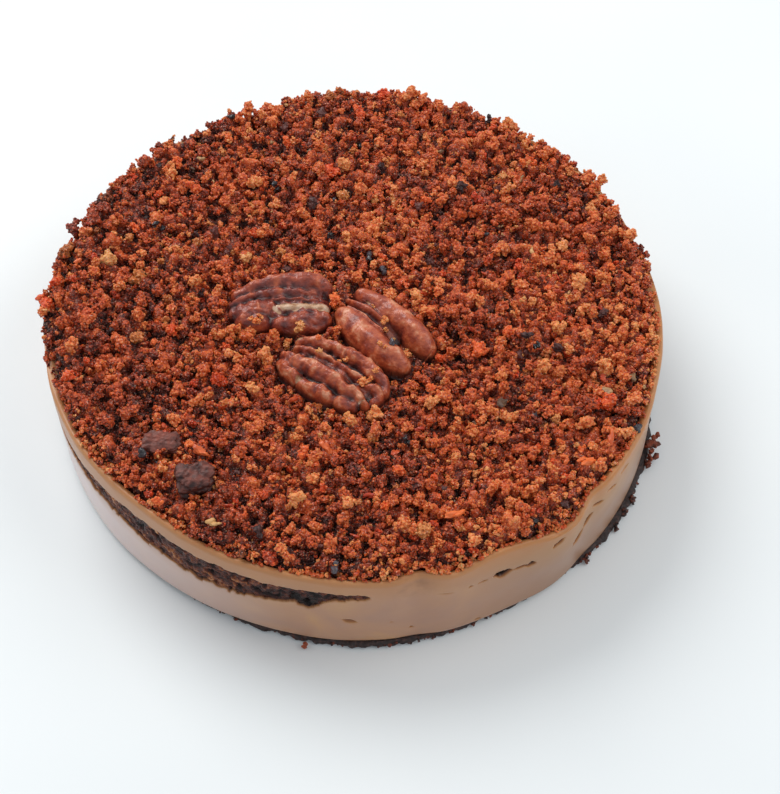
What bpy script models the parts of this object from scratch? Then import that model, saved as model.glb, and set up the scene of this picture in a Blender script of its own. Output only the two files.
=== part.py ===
"""Coffee cream cake: an 18 cm ring cake that stands on its own thin dark biscuit base.

From the bottom up it is a biscuit base, a body of set coffee cream with a sponge layer inside it
that comes through the wall on one side, a heap of carrot cake crumbs on top, and three pecan
halves pressed into the crumbs. The cake's axis is Z, it stands on z = 0, and azimuth 0 is +X.
"""

import math
import random

import bmesh
import bpy
from mathutils import Matrix, Vector, geometry, noise

MM = 0.001
GAP = 0.3 * MM  # air kept between neighbouring pieces
MERGE = 0.01 * MM

# Driving heights and radii of the layers, from the bottom up.
BASE_RADIUS = 89.6 * MM
BASE_THICKNESS = 2.3 * MM
CREAM_RADIUS = 89.5 * MM
CREAM_BED = 33.0 * MM  # level that the crumbs lie on
LIP_HEIGHT = 2.3 * MM  # rim of cream that stands above the bed
WALL_ROWS = (29.6, 23.2, 16.2, 9.2)  # heights in mm at which the cream's wall has points
SPONGE_BOTTOM = 18.2 * MM
SPONGE_TOP = 30.9 * MM
SPONGE_HIDDEN_RADIUS = 84.0 * MM
CRUMB_DEPTH = 4.6 * MM  # mean depth of the crumbs on the bed
CRUMB_PITCH = 5.5 * MM

TURNED_STEPS = 96  # sides of everything turned
SEED = 7

# Folds of the ring's liner that the set cream keeps: azimuth, half width in degrees, push in mm.
LINER_FOLDS = (
    (-176, 20, 2.4),
    (-62, 8, -1.5),
    (-77, 4, -1.3),
    (-46, 7, 1.4),
    (-12, 9, -0.7),
    (40, 13, 1.1),
    (78, 9, 0.7),
    (117, 15, -2.0),
    (150, 9, 0.9),
    (-132, 7, -0.6),
)
# Where the lip of cream stands clear of the crumbs: azimuth and share of LIP_HEIGHT.
LIP_SHARE = ((-180, 0.0), (-169, 0.0), (-157, 0.7), (-146, 1.0), (-10, 1.0), (3, 0.6), (14, 0.0), (180, 0.0))
# How far the sponge is pushed past the cream's wall, in mm, and the height of its bulge, in mm.
EXPOSURE = (
    (-226, -3.0, 24.5),
    (-212, 0.3, 24.5),
    (-152, 0.7, 23.4),
    (-136, 2.3, 24.9),
    (-112, 3.2, 24.2),
    (-102, 1.1, 25.4),
    (-92, 0.16, 27.6),
    (-86, 0.03, 27.6),
    (-81, -3.0, 27.0),
)
SPONGE_EDGE_DROP = 3.4 * MM  # how far the sponge's edge is rounded back at its faces
SPONGE_RECESS = 0.5 * MM  # the sponge's cut face lies this far inside the cream's wall

# Splits where the cream is thin over the sponge: azimuth, height in mm, length in mm, tilt in degrees.
CREAM_SPLITS = (
    (-63.5, 24.6, 7.5, -12),
    (-57.5, 22.4, 7.0, -14),
    (-50.6, 27.6, 5.0, 38),
    (-44.6, 21.4, 8.5, 34),
    (-37.5, 28.2, 10.0, -20),
    (-89.0, 14.4, 4.2, -20),
)
SPLIT_HEIGHT = 1.5 * MM
SPLIT_DEPTH = 2.2 * MM

# The pecan halves: centre x and y in mm, turn about Z in degrees, length, width and height in mm,
# and how much higher one long side is than the other, in mm: + where the side on the left is.
PECANS = (
    {"at": (-22.2, -2.6), "turn": 8, "size": (30.5, 19.0, 8.4), "tilt": 1.9},
    {"at": (7.4, -10.4), "turn": -43, "size": (30.6, 18.2, 8.2), "tilt": 0.8},
    {"at": (-6.6, -27.4), "turn": -33, "size": (32.6, 20.2, 8.2), "tilt": 1.6},
)
PECAN_REST = 37.3 * MM
PECAN_CLEARANCE = 1.3 * MM
# Where a half's cross section has points, from the middle to the flank, as shares of its half width.
PECAN_STATIONS = (0.0, 0.09, 0.18, 0.27, 0.40, 0.54, 0.66, 0.78, 0.92, 1.0)

# Larger scraps among the crumbs: x, y, length, width, height and turn; mm and degrees.
SCRAPS = {
    "sponge_chunk": (-41.5, -62.3, 11.5, 10.5, 8.5, 12),
    "flat_chunk": (-52.8, -50.4, 11.0, 7.5, 5.0, 5),
    "bare_nut": (-35.3, -75.8, 4.6, 4.0, 6.0, 30),
    "carrot_strip": (-40.5, -53.4, 7.0, 2.6, 5.5, -52),
    "carrot_piece": (71.6, -43.2, 5.5, 3.6, 5.5, 40),
    "orange_crumb": (65.2, -50.6, 6.0, 4.4, 5.5, 35),
    "rim_currant": (76.6, -34.9, 4.4, 3.6, 5.0, 60),
    "low_currant": (-1.9, -84.4, 4.6, 3.4, 4.4, 5),
}

# Where the base stands out from under the cream: azimuth, half width in degrees, push in mm.
BASE_BULGES = ((-30, 15, 1.8), (-15, 4, 0.9), (-84, 14, 1.2), (150, 50, 0.6))
# Lumps of crumb that lie against the base's foot: azimuth, radius to the middle and size, mm.
FOOT_LUMPS = ((-13.5, 92.9, 3.3), (-17.0, 92.4, 2.7), (-25.0, 92.0, 2.4), (-41.0, 91.6, 1.9))


def between(azimuth, table, column=1):
    """The value at an azimuth of a column that is smooth between the rows of a table."""
    low, high = table[0][0], table[-1][0]
    while azimuth > high:
        azimuth -= 360
    if azimuth < low:
        return table[0][column]
    for first, second in zip(table, table[1:]):
        if azimuth <= second[0]:
            share = (azimuth - first[0]) / (second[0] - first[0])
            share = share * share * (3 - 2 * share)
            return first[column] + share * (second[column] - first[column])
    return table[-1][column]


def swell(azimuth, centre, half_width):
    """A smooth bump of height 1 round the cake, at the centre azimuth."""
    away = (azimuth - centre + 180) % 360 - 180
    return math.exp(-((away / half_width) ** 2))


def rough(azimuth, pitch, seed, height=0.0):
    """Noise from -1 to 1 that closes on itself round the cake; pitch is its size along the wall."""
    turn = math.radians(azimuth)
    reach = CREAM_RADIUS / pitch
    place = Vector((reach * math.cos(turn), reach * math.sin(turn), height / pitch + 17.3 * seed))
    return noise.noise(place)


def wall_radius(azimuth, height):
    """The cream wall's radius: round at the foot, with the liner's folds deepest at the rim."""
    folds = sum(push * swell(azimuth, centre, width) for centre, width, push in LINER_FOLDS)
    depth = 0.25 + 0.75 * max(0.0, min(1.0, height / (CREAM_BED + LIP_HEIGHT))) ** 1.4
    return CREAM_RADIUS + folds * MM * depth + rough(azimuth, 17 * MM, 1, height) * 0.25 * MM


def rim_height(azimuth):
    """The top of the cream's lip, which waves a little and sinks to the bed under the crumbs."""
    wave = rough(azimuth, 14 * MM, 2) * 0.9 * MM
    return CREAM_BED + (LIP_HEIGHT + wave) * between(azimuth, LIP_SHARE)


def sponge_radius(azimuth, height):
    """The sponge's rounded edge before the ring's wall cuts it off flush."""
    push = between(azimuth, EXPOSURE, 1) * MM
    bulge = between(azimuth, EXPOSURE, 2) * MM
    half = (SPONGE_TOP - SPONGE_BOTTOM) / 2
    away = abs(height - bulge) / half
    edge = wall_radius(azimuth, height) + push if push > -3 * MM else SPONGE_HIDDEN_RADIUS + 2 * MM
    edge += rough(azimuth, 6 * MM, 3, height) * 0.5 * MM * (push > 0)
    return max(SPONGE_HIDDEN_RADIUS - 2 * MM, edge - SPONGE_EDGE_DROP * away**2.4)


def material(name, colour, roughness):
    """A plain finish; colour is linear."""
    made = bpy.data.materials.new(name)
    made.use_nodes = True
    shader = made.node_tree.nodes["Principled BSDF"]
    shader.inputs["Base Color"].default_value = (*colour, 1)
    shader.inputs["Roughness"].default_value = roughness
    made.diffuse_color = (*colour, 1)
    return made


def add(name, mesh, finish, collection):
    """A named object for a mesh, in its collection, shaded smooth."""
    piece = bpy.data.objects.new(name, mesh)
    collection.objects.link(piece)
    if finish:
        mesh.materials.append(finish)
    mesh.shade_smooth()
    mesh.set_sharp_from_angle(angle=math.radians(40))
    return piece


def turned(name, profile, reshape):
    """The mesh of a profile turned about Z. Each point then goes to reshape(azimuth, r, z)."""
    mesh = bpy.data.meshes.new(name)
    mesh.from_pydata([(r, 0, z) for r, z in profile], [(i, i + 1) for i in range(len(profile) - 1)], [])
    guide = bpy.data.objects.new(name + "_profile", mesh)
    bpy.context.scene.collection.objects.link(guide)
    screw = guide.modifiers.new("turn", "SCREW")
    screw.steps = screw.render_steps = TURNED_STEPS
    screw.use_merge_vertices = True
    screw.merge_threshold = MERGE
    bpy.context.view_layer.update()
    made = bpy.data.meshes.new_from_object(guide.evaluated_get(bpy.context.evaluated_depsgraph_get()))
    bpy.data.objects.remove(guide)
    made.name = name
    for vertex in made.vertices:
        r = math.hypot(vertex.co.x, vertex.co.y)
        azimuth = math.degrees(math.atan2(vertex.co.y, vertex.co.x))
        new_r, new_z = reshape(azimuth, r, vertex.co.z)
        grow = new_r / r if r > MERGE else 0
        vertex.co = (vertex.co.x * grow, vertex.co.y * grow, new_z)
    return made


def cut(piece, cutters):
    """Takes each cutter out of the piece, as a Boolean modifier that stays on it."""
    for cutter in cutters:
        boolean = piece.modifiers.new("cut_" + cutter.name, "BOOLEAN")
        boolean.operation = "DIFFERENCE"
        boolean.object = cutter
        cutter.hide_render = True
        cutter.display_type = "WIRE"


def join(piece, parts):
    """Makes the piece and the parts one solid with one Boolean union, and removes the parts."""
    pile = bpy.data.collections.new(piece.name + "_pile")
    bpy.context.scene.collection.children.link(pile)
    for part in parts:
        for held in part.users_collection:
            held.objects.unlink(part)
        pile.objects.link(part)
    union = piece.modifiers.new("union", "BOOLEAN")
    union.operation = "UNION"
    union.operand_type = "COLLECTION"
    union.collection = pile
    union.solver = "MANIFOLD"
    bpy.context.view_layer.update()
    whole = bpy.data.meshes.new_from_object(piece.evaluated_get(bpy.context.evaluated_depsgraph_get()))
    piece.modifiers.remove(union)
    piece.data = whole
    for part in list(pile.objects):
        bpy.data.objects.remove(part)
    bpy.data.collections.remove(pile)


def lump(name, place, size, turn, seed, collection, detail=2):
    """An uneven lump, such as a crumb, a nut scrap or a cutter, from an icosphere."""
    shape = bmesh.new()
    bmesh.ops.create_icosphere(shape, subdivisions=detail, radius=0.5)
    for vertex in shape.verts:
        vertex.co *= 1 + 0.22 * noise.noise(vertex.co * 3.1 + Vector((seed, 0, 0)))
    grown = Matrix.Diagonal((*size, 1))
    bmesh.ops.transform(shape, matrix=turn @ grown, verts=shape.verts)
    bmesh.ops.translate(shape, vec=place, verts=shape.verts)
    mesh = bpy.data.meshes.new(name)
    shape.to_mesh(mesh)
    shape.free()
    return add(name, mesh, None, collection)


def around(azimuth, radius, height):
    """A point by its azimuth, radius and height."""
    turn = math.radians(azimuth)
    return Vector((radius * math.cos(turn), radius * math.sin(turn), height))


def biscuit_base(collection):
    """A thin dark biscuit disc, its edge crumbled, with a few lumps fused to its foot."""
    top = BASE_THICKNESS

    def crumbled(azimuth, r, z):
        if r < BASE_RADIUS / 2:
            return r, z
        ragged = rough(azimuth, 4.5 * MM, 5, z) * 0.9 * MM
        bulge = sum(push * swell(azimuth, centre, width) for centre, width, push in BASE_BULGES)
        return r + ragged + bulge * MM, z

    profile = [
        (0, top),
        (BASE_RADIUS - 0.4 * MM, top - 0.3 * MM),
        (BASE_RADIUS + 0.3 * MM, top * 0.45),
        (BASE_RADIUS - 0.5 * MM, 0),
        (0, 0),
    ]
    finish = material("dark_biscuit", (0.030, 0.016, 0.013), 0.8)
    piece = add("biscuit_base", turned("biscuit_base", profile, crumbled), finish, collection)
    lumps = []
    for number, (azimuth, radius, size) in enumerate(FOOT_LUMPS):
        turn = Matrix.Rotation(math.radians(azimuth), 4, "Z")
        extent = (size * MM * 1.5, size * MM * 2.3, size * MM * 1.6)
        place = around(azimuth, radius * MM, extent[2] * 0.42)
        made = lump(f"foot_lump_{number}", place, extent, turn, number, collection)
        for vertex in made.data.vertices:
            vertex.co.z = max(vertex.co.z, 0.2 * MM)
        lumps.append(made)
    join(piece, lumps)
    return piece


def sponge_profile(bottom, top):
    """The sponge's section: its two faces and a row of points down its edge."""
    rows = (1.0, 0.82, 0.5, 0.18, 0.0)
    edge = [(SPONGE_HIDDEN_RADIUS, bottom + share * (top - bottom)) for share in rows]
    return [(0, top), *edge, (0, bottom)]


def sponge_layer(collection):
    """The soaked sponge disc; on one side its edge comes through the cream's wall."""

    def flush(azimuth, r, z):
        if r < SPONGE_HIDDEN_RADIUS / 2:
            return r, z
        pitted = rough(azimuth, 3 * MM, 6, z) * 0.35 * MM
        return min(sponge_radius(azimuth, z), wall_radius(azimuth, z) - SPONGE_RECESS + pitted), z

    mesh = turned("sponge_layer", sponge_profile(SPONGE_BOTTOM, SPONGE_TOP), flush)
    return add("sponge_layer", mesh, material("soaked_sponge", (0.115, 0.045, 0.026), 0.7), collection)


def sponge_pocket(collection):
    """The cutter that leaves room in the cream for the sponge, with a gap all round it."""

    def roomy(azimuth, r, z):
        if r < SPONGE_HIDDEN_RADIUS / 2:
            return r, z
        inner = min(max(z, SPONGE_BOTTOM), SPONGE_TOP)
        return sponge_radius(azimuth, inner) + GAP * 1.5, z

    profile = sponge_profile(SPONGE_BOTTOM - GAP, SPONGE_TOP + GAP)
    return add("sponge_pocket", turned("sponge_pocket", profile, roomy), None, collection)


def coffee_cream(collection, cutters):
    """The body of set coffee cream: a smooth folded wall, a lip, and a flat bed for the crumbs."""
    foot = BASE_THICKNESS + GAP
    lip_top = CREAM_BED + LIP_HEIGHT
    wall = [(CREAM_RADIUS, height * MM) for height in WALL_ROWS]
    profile = [
        (0, CREAM_BED),
        (CREAM_RADIUS - 2.2 * MM, CREAM_BED),
        (CREAM_RADIUS - 1.5 * MM, lip_top - 0.5 * MM),
        (CREAM_RADIUS - 0.8 * MM, lip_top),
        (CREAM_RADIUS - 0.1 * MM, lip_top - 0.6 * MM),
        *wall,
        (CREAM_RADIUS, foot + 1.2 * MM),
        (CREAM_RADIUS - 0.9 * MM, foot),
        (0, foot),
    ]

    def folded(azimuth, r, z):
        if r < CREAM_RADIUS - 4 * MM:
            return r, z
        inset = CREAM_RADIUS - r
        if z > CREAM_BED + 0.1 * MM:
            below = lip_top - z
            z = rim_height(azimuth) - below * max(0.05, between(azimuth, LIP_SHARE))
            z = max(z, CREAM_BED + 0.02 * MM * (4 - below / MM))
        return wall_radius(azimuth, z) - inset, z

    finish = material("set_coffee_cream", (0.42, 0.25, 0.145), 0.35)
    piece = add("coffee_cream", turned("coffee_cream", profile, folded), finish, collection)
    pocket = sponge_pocket(cutters)
    splits = []
    for number, (azimuth, height, length, tilt) in enumerate(CREAM_SPLITS):
        place = around(azimuth, wall_radius(azimuth, height * MM), height * MM)
        spin = Matrix.Rotation(math.radians(azimuth), 4, "Z") @ Matrix.Rotation(math.radians(tilt), 4, "X")
        extent = (SPLIT_DEPTH, length * MM, SPLIT_HEIGHT)
        splits.append(lump(f"split_{number}", place, extent, spin, number, cutters, detail=1))
    cut(piece, [pocket, *splits])
    return piece


def pecan_frame(pecan):
    """Where a pecan half lies on the crumbs."""
    x, y = pecan["at"]
    place = Matrix.Translation((x * MM, y * MM, PECAN_REST))
    return place @ Matrix.Rotation(math.radians(pecan["turn"]), 4, "Z")


def pecan_outline(along):
    """A pecan half's width from tip to tip, as a share of its widest: fuller at the stem end."""
    return (1 - abs(along) ** 2.4) ** 0.5 * (1 - 0.08 * along)


def pecan_back(along, across, seed):
    """Height of a half's back, as a share: two long lobes, a low rib between them, and flank lobes."""
    dome = (1 - abs(across) ** 2.4) ** 0.55
    fade = 1 - abs(along) ** 5
    away = abs(across)
    groove = 0.34 * math.exp(-(((away - 0.18) / 0.07) ** 2))
    rib = 0.16 * math.exp(-((away / 0.15) ** 2))
    flank = 0.16 * math.exp(-(((away - 0.66) / 0.08) ** 2))
    flank *= 0.7 + 0.6 * noise.noise(Vector((along * 1.5, across * 2, seed)))
    wrinkle = 0.05 * noise.noise(Vector((along * 5, across * 2, seed)))
    return max(0.05, dome * (1 - (groove + rib) * fade) - flank * fade + wrinkle * dome)


def pecan_half(name, pecan, seed, collection, finish):
    """A pecan half, flat side down: cross sections lofted from tip to tip."""
    length, width, height = (size * MM for size in pecan["size"])
    rings_count = 17
    lobes = [-share for share in reversed(PECAN_STATIONS)] + list(PECAN_STATIONS[1:])
    underside = (0.6, -0.6)
    shape = bmesh.new()
    rings = []
    for station in range(1, rings_count):
        along = -math.cos(math.pi * station / rings_count)
        half = width / 2 * pecan_outline(along)
        crown = height * (1 - abs(along) ** 3) ** 0.6
        section = []
        for across in lobes:
            lift = pecan["tilt"] * MM * (across + 1) / 2
            section.append((across * half, crown * (0.2 + 0.8 * pecan_back(along, across, seed)) + lift))
        section += [(across * half, 0.0) for across in underside]
        rings.append([shape.verts.new((along * length / 2, y, z)) for y, z in section])
    count = len(lobes) + len(underside)
    for first, second in zip(rings, rings[1:]):
        for k in range(count):
            following = (k + 1) % count
            shape.faces.new((first[k], first[following], second[following], second[k]))
    for ring, side in ((rings[0], -1), (rings[-1], 1)):
        middle = sum((vertex.co.z for vertex in ring), 0.0) / count
        tip = shape.verts.new((side * length / 2, 0, middle))
        for k in range(count):
            shape.faces.new((ring[k], ring[(k + 1) % count], tip))
    bmesh.ops.triangulate(shape, faces=shape.faces)
    bmesh.ops.recalc_face_normals(shape, faces=shape.faces)
    mesh = bpy.data.meshes.new(name)
    shape.to_mesh(mesh)
    shape.free()
    piece = add(name, mesh, finish, collection)
    piece.matrix_world = pecan_frame(pecan)
    return piece


def seat_height(x, y):
    """The highest that a crumb may stand at a place: just under a pecan half that lies over it."""
    highest = math.inf
    for pecan in PECANS:
        length, width, _ = (size * MM for size in pecan["size"])
        local = pecan_frame(pecan).inverted() @ Vector((x, y, PECAN_REST))
        reach_x = local.x / (length / 2 + PECAN_CLEARANCE)
        reach_y = local.y / (width / 2 + PECAN_CLEARANCE)
        if abs(reach_x) ** 2.5 + reach_y**2 < 1:
            highest = PECAN_REST - GAP
    return highest


def crumb_outline(azimuth):
    """The heap's edge: inside the lip where there is one, and out to the wall or past it elsewhere."""
    inside_lip = wall_radius(azimuth, CREAM_BED + LIP_HEIGHT) - 2.6 * MM
    free = max(0.0, 1 - between(azimuth, LIP_SHARE) / 0.04)
    spill = (2.1 + 0.7 * swell(azimuth, 180, 18)) * MM + rough(azimuth, 4 * MM, 8) * 0.5 * MM
    return inside_lip + free * spill


def heap_height(x, y):
    """The heap's mean level, which rolls gently and falls off at its edge."""
    level = CREAM_BED + CRUMB_DEPTH + 1.0 * MM * noise.noise(Vector((x, y, 0)) / (26 * MM))
    azimuth = math.degrees(math.atan2(y, x))
    inward = max(0.0, crumb_outline(azimuth) - math.hypot(x, y))
    return level - 2.4 * MM * math.exp(-inward / (2.5 * MM))


def crumb_points(chance):
    """Crumb middles on a shaken hexagonal grid, and the hollows between each three of them."""
    middles = []
    rows = int(2 * CREAM_RADIUS / (CRUMB_PITCH * math.sqrt(3) / 2)) + 2
    for row in range(-rows // 2, rows // 2 + 1):
        for column in range(-rows // 2, rows // 2 + 1):
            x = (column + 0.5 * (row % 2)) * CRUMB_PITCH + chance.uniform(-0.3, 0.3) * CRUMB_PITCH
            y = row * CRUMB_PITCH * math.sqrt(3) / 2 + chance.uniform(-0.3, 0.3) * CRUMB_PITCH
            if math.hypot(x, y) < crumb_outline(math.degrees(math.atan2(y, x))) - 0.45 * CRUMB_PITCH:
                middles.append(Vector((x, y)))
    found = geometry.delaunay_2d_cdt(middles, [], [], 0, MERGE)
    hollows = []
    for corners in found[2]:
        a, b, c = (found[0][i] for i in corners)
        if max((a - b).length, (b - c).length, (c - a).length) < 2.2 * CRUMB_PITCH:
            hollows.append((a + b + c) / 3)
    return middles, hollows


def crumb_topping(collection):
    """The heap of crumbs: every crumb a crest with hollows round it, and larger scraps fused on."""
    chance = random.Random(SEED)
    middles, hollows = crumb_points(chance)
    rim_count = 130
    rim = []
    for k in range(rim_count):
        azimuth = -180 + 360 * k / rim_count
        rim.append(around(azimuth, crumb_outline(azimuth) + chance.uniform(-0.3, 0.3) * MM, 0).to_2d())
    flat = rim + middles + hollows
    edges = [(k, (k + 1) % rim_count) for k in range(rim_count)]
    points, _, faces, *_ = geometry.delaunay_2d_cdt(flat, edges, [], 1, MERGE)

    shape = bmesh.new()
    over = []
    for number, point in enumerate(points):
        x, y = point
        if number < rim_count:
            z = CREAM_BED + (1.7 + chance.uniform(-0.4, 0.5)) * MM
        elif number < rim_count + len(middles):
            z = heap_height(x, y) + chance.uniform(0.2, 2.3) * MM
        else:
            z = heap_height(x, y) - chance.uniform(0.5, 1.7) * MM
        over.append(shape.verts.new((x, y, min(z, seat_height(x, y)))))
    for corners in faces:
        shape.faces.new([over[i] for i in corners])
    under = []
    for vertex in over[:rim_count]:
        inward = vertex.co.to_2d() * (1 - 0.7 * MM / vertex.co.to_2d().length)
        under.append(shape.verts.new((*inward, CREAM_BED + GAP)))
    for k in range(rim_count):
        nxt = (k + 1) % rim_count
        shape.faces.new((over[k], under[k], under[nxt], over[nxt]))
    shape.faces.new(under)
    bmesh.ops.triangulate(shape, faces=[face for face in shape.faces if len(face.verts) > 3])
    bmesh.ops.recalc_face_normals(shape, faces=shape.faces)
    mesh = bpy.data.meshes.new("crumb_topping")
    shape.to_mesh(mesh)
    shape.free()
    finish = material("carrot_cake_crumbs", (0.30, 0.085, 0.032), 0.85)
    piece = add("crumb_topping", mesh, finish, collection)
    scraps = []
    for number, (name, (x, y, long, wide, high, turn)) in enumerate(SCRAPS.items()):
        extent = (long * MM, wide * MM, high * MM)
        middle = heap_height(x * MM, y * MM) + 0.9 * MM
        middle = max(middle, CREAM_BED + GAP + extent[2] * 0.62)
        spin = Matrix.Rotation(math.radians(turn), 4, "Z")
        scraps.append(lump(name, Vector((x * MM, y * MM, middle)), extent, spin, number, collection))
    join(piece, scraps)
    return piece


def main():
    for old in list(bpy.data.objects):
        bpy.data.objects.remove(old)
    cake = bpy.data.collections.new("coffee_cream_cake")
    cutters = bpy.data.collections.new("cutters")
    bpy.context.scene.collection.children.link(cake)
    bpy.context.scene.collection.children.link(cutters)
    biscuit_base(cake)
    coffee_cream(cake, cutters)
    sponge_layer(cake)
    crumb_topping(cake)
    nut_skin = material("pecan_skin", (0.165, 0.055, 0.030), 0.45)
    for number, pecan in enumerate(PECANS):
        pecan_half(f"pecan_half_{number + 1}", pecan, 3.7 * number + 1, cake, nut_skin)


main()
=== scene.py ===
"""Coffee cream cake: a ring cake of set coffee cream on dark biscuit, with a band of sponge in its
side, carrot cake crumbs on top and three pecan halves, on a plain pale floor."""

import math
import random

import bmesh
import bpy
import numpy as np
from mathutils import Matrix, Vector, noise
from mathutils.bvhtree import BVHTree


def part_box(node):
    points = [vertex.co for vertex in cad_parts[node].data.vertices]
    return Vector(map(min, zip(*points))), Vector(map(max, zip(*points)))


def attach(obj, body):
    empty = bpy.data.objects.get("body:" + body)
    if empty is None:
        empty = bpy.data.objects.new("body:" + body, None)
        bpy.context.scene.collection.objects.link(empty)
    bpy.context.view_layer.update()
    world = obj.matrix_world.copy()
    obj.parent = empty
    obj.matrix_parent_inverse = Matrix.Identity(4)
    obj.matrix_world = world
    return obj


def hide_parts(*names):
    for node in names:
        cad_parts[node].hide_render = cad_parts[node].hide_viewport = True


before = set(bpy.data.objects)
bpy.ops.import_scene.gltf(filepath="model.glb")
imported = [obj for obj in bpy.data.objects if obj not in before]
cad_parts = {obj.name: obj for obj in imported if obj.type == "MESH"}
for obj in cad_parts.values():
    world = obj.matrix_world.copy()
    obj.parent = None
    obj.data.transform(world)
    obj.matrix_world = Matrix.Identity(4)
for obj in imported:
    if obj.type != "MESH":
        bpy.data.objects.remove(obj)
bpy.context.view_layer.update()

# ---------------------------------------------------------------------------------------------
# Camera: it looks down on the cake from the front through a short telephoto lens, a little rolled.
MM = 0.001
PICTURE_HEIGHT = 794  # pixels
FOCAL_LENGTH = 1800  # pixels
SENSOR_HEIGHT = 24.0  # mm
LOOKS_AT = Vector((10.3, -4.8, 0.0)) * MM
DISTANCE = 552 * MM
ELEVATION = math.radians(55.14)
ROLL = math.radians(2.43)

lens = bpy.data.cameras.new("camera")
lens.sensor_fit = "VERTICAL"
lens.sensor_height = SENSOR_HEIGHT
lens.lens = FOCAL_LENGTH * SENSOR_HEIGHT / PICTURE_HEIGHT
lens.clip_start = 10 * MM
camera = bpy.data.objects.new("camera", lens)
bpy.context.scene.collection.objects.link(camera)
tilted = Matrix.Rotation(math.pi / 2 - ELEVATION, 4, "X") @ Matrix.Rotation(ROLL, 4, "Z")
camera.matrix_world = Matrix.Translation(LOOKS_AT) @ tilted @ Matrix.Translation((0, 0, DISTANCE))
bpy.context.scene.camera = camera
bpy.context.scene.view_settings.view_transform = "Standard"

# ---------------------------------------------------------------------------------------------
# Daylight: a wide soft window behind the cake on the left, a weaker one on the right, and pale
# walls all round.
LIGHTS = {
    "window": {"at": (-0.75, 0.85, 1.10), "size": 1.1, "watts": 17.0, "colour": (1.0, 0.98, 0.95)},
    "far_window": {"at": (1.0, 0.1, 1.0), "size": 1.2, "watts": 6.0, "colour": (1.0, 0.97, 0.93)},
}
for name, light in LIGHTS.items():
    lamp = bpy.data.lights.new(name, "AREA")
    lamp.shape = "DISK"
    lamp.size = light["size"]
    lamp.energy = light["watts"]
    lamp.color = light["colour"]
    holder = bpy.data.objects.new(name, lamp)
    holder.location = light["at"]
    holder.rotation_euler = Vector(light["at"]).to_track_quat("Z", "Y").to_euler()
    bpy.context.scene.collection.objects.link(holder)

ROOM_COLOUR = (0.90, 0.95, 1.0, 1)
ROOM_STRENGTH = 0.62
room = bpy.data.worlds.new("pale_room")
room.use_nodes = True
room.node_tree.nodes["Background"].inputs["Color"].default_value = ROOM_COLOUR
room.node_tree.nodes["Background"].inputs["Strength"].default_value = ROOM_STRENGTH
bpy.context.scene.world = room


# ---------------------------------------------------------------------------------------------
# Floor: a plain matt white table top, so smooth that only a faint unevenness shows.
def linear(hex_colour):
    """The linear RGBA of an sRGB colour written as #rrggbb."""
    shares = [int(hex_colour[i : i + 2], 16) / 255 for i in (1, 3, 5)]
    return [s / 12.92 if s <= 0.04045 else ((s + 0.055) / 1.055) ** 2.4 for s in shares] + [1.0]


def plug(tree, node, inputs):
    """Gives a node's inputs their values or links."""
    for name, value in inputs.items():
        if isinstance(value, bpy.types.NodeSocket):
            tree.links.new(value, node.inputs[name])
        else:
            node.inputs[name].default_value = value


def add_node(tree, kind, inputs=(), stops=(), **settings):
    """Adds a node with its settings, its inputs' values or links, and a colour ramp's stops."""
    made = tree.nodes.new(kind)
    for name, value in settings.items():
        setattr(made, name, value)
    plug(tree, made, dict(inputs))
    for number, (place, colour) in enumerate(stops):
        if number > 1:
            made.color_ramp.elements.new(place)
        made.color_ramp.elements[number].position = place
        made.color_ramp.elements[number].color = linear(colour)
    return made


def per_mm(size):
    """A texture's scale on object coordinates, which are metres, for features of a size in mm."""
    return 1 / (size * MM)


def new_finish(name):
    """A new material, with its node tree, its shader and the places on object coordinates."""
    made = bpy.data.materials.new(name)
    made.use_nodes = True
    tree = made.node_tree
    return made, tree, tree.nodes["Principled BSDF"], add_node(tree, "ShaderNodeTexCoord").outputs["Object"]


matt_paint, tree, shader, place = new_finish("matt_white_paint")
cloudy = add_node(tree, "ShaderNodeTexNoise", {"Vector": place, "Scale": per_mm(160), "Detail": 2.0})
pale = add_node(
    tree,
    "ShaderNodeValToRGB",
    {"Fac": cloudy.outputs["Fac"]},
    stops=((0.3, "#e3e8ea"), (0.7, "#ebeff0")),
)
plug(tree, shader, {"Base Color": pale.outputs["Color"], "Roughness": 0.55})

FLOOR_REACH = 2.0  # metres
shape = bmesh.new()
bmesh.ops.create_grid(shape, x_segments=8, y_segments=8, size=FLOOR_REACH)
floor_mesh = bpy.data.meshes.new("floor")
shape.to_mesh(floor_mesh)
shape.free()
floor_mesh.materials.append(matt_paint)
floor = bpy.data.objects.new("floor", floor_mesh)
bpy.context.scene.collection.objects.link(floor)

# ---------------------------------------------------------------------------------------------
# Set coffee cream: a gelatine-set cream, poured into a lined ring. Its side keeps the liner's soft
# folds, its lip stands a little above the crumbs' bed, and it split and pitted where it is thin.
CREAM_RADIUS = 89.5 * MM
CREAM_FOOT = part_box("coffee_cream")[0].z
CREAM_BED = 33.0 * MM
LIP_HEIGHT = 2.3 * MM
# Azimuth and half width of each fold in degrees, and its push in mm.
LINER_FOLDS = (
    (-176, 20, 2.4),
    (-62, 8, -1.5),
    (-77, 3.2, -1.9),
    (-71, 3.5, 0.5),
    (-48, 6, 1.6),
    (-41.5, 3.2, -1.5),
    (-12, 9, -0.7),
    (40, 13, 1.1),
    (78, 9, 0.7),
    (117, 15, -2.0),
    (150, 9, 0.9),
    (-132, 7, -0.3),
    (-150, 13, 0.9),
    (22, 5, -0.8),
    (62, 4, -0.9),
    (98, 5, 0.8),
    (134, 4, 0.6),
    (-168, 5, -0.7),
)
BELLY = (-64, 34, 1.1)  # a broad bulge as high as the wall, as in the folds
FOOT_DROPS = ((-142, 28, 1.5), (-50, 8, 1.1))  # how far the foot hides the base, in mm
RIM_DIPS = ((-88, 8, -1.0), (-69, 5, -1.6), (-50, 9, -2.0))  # as in the folds, but in height
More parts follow.
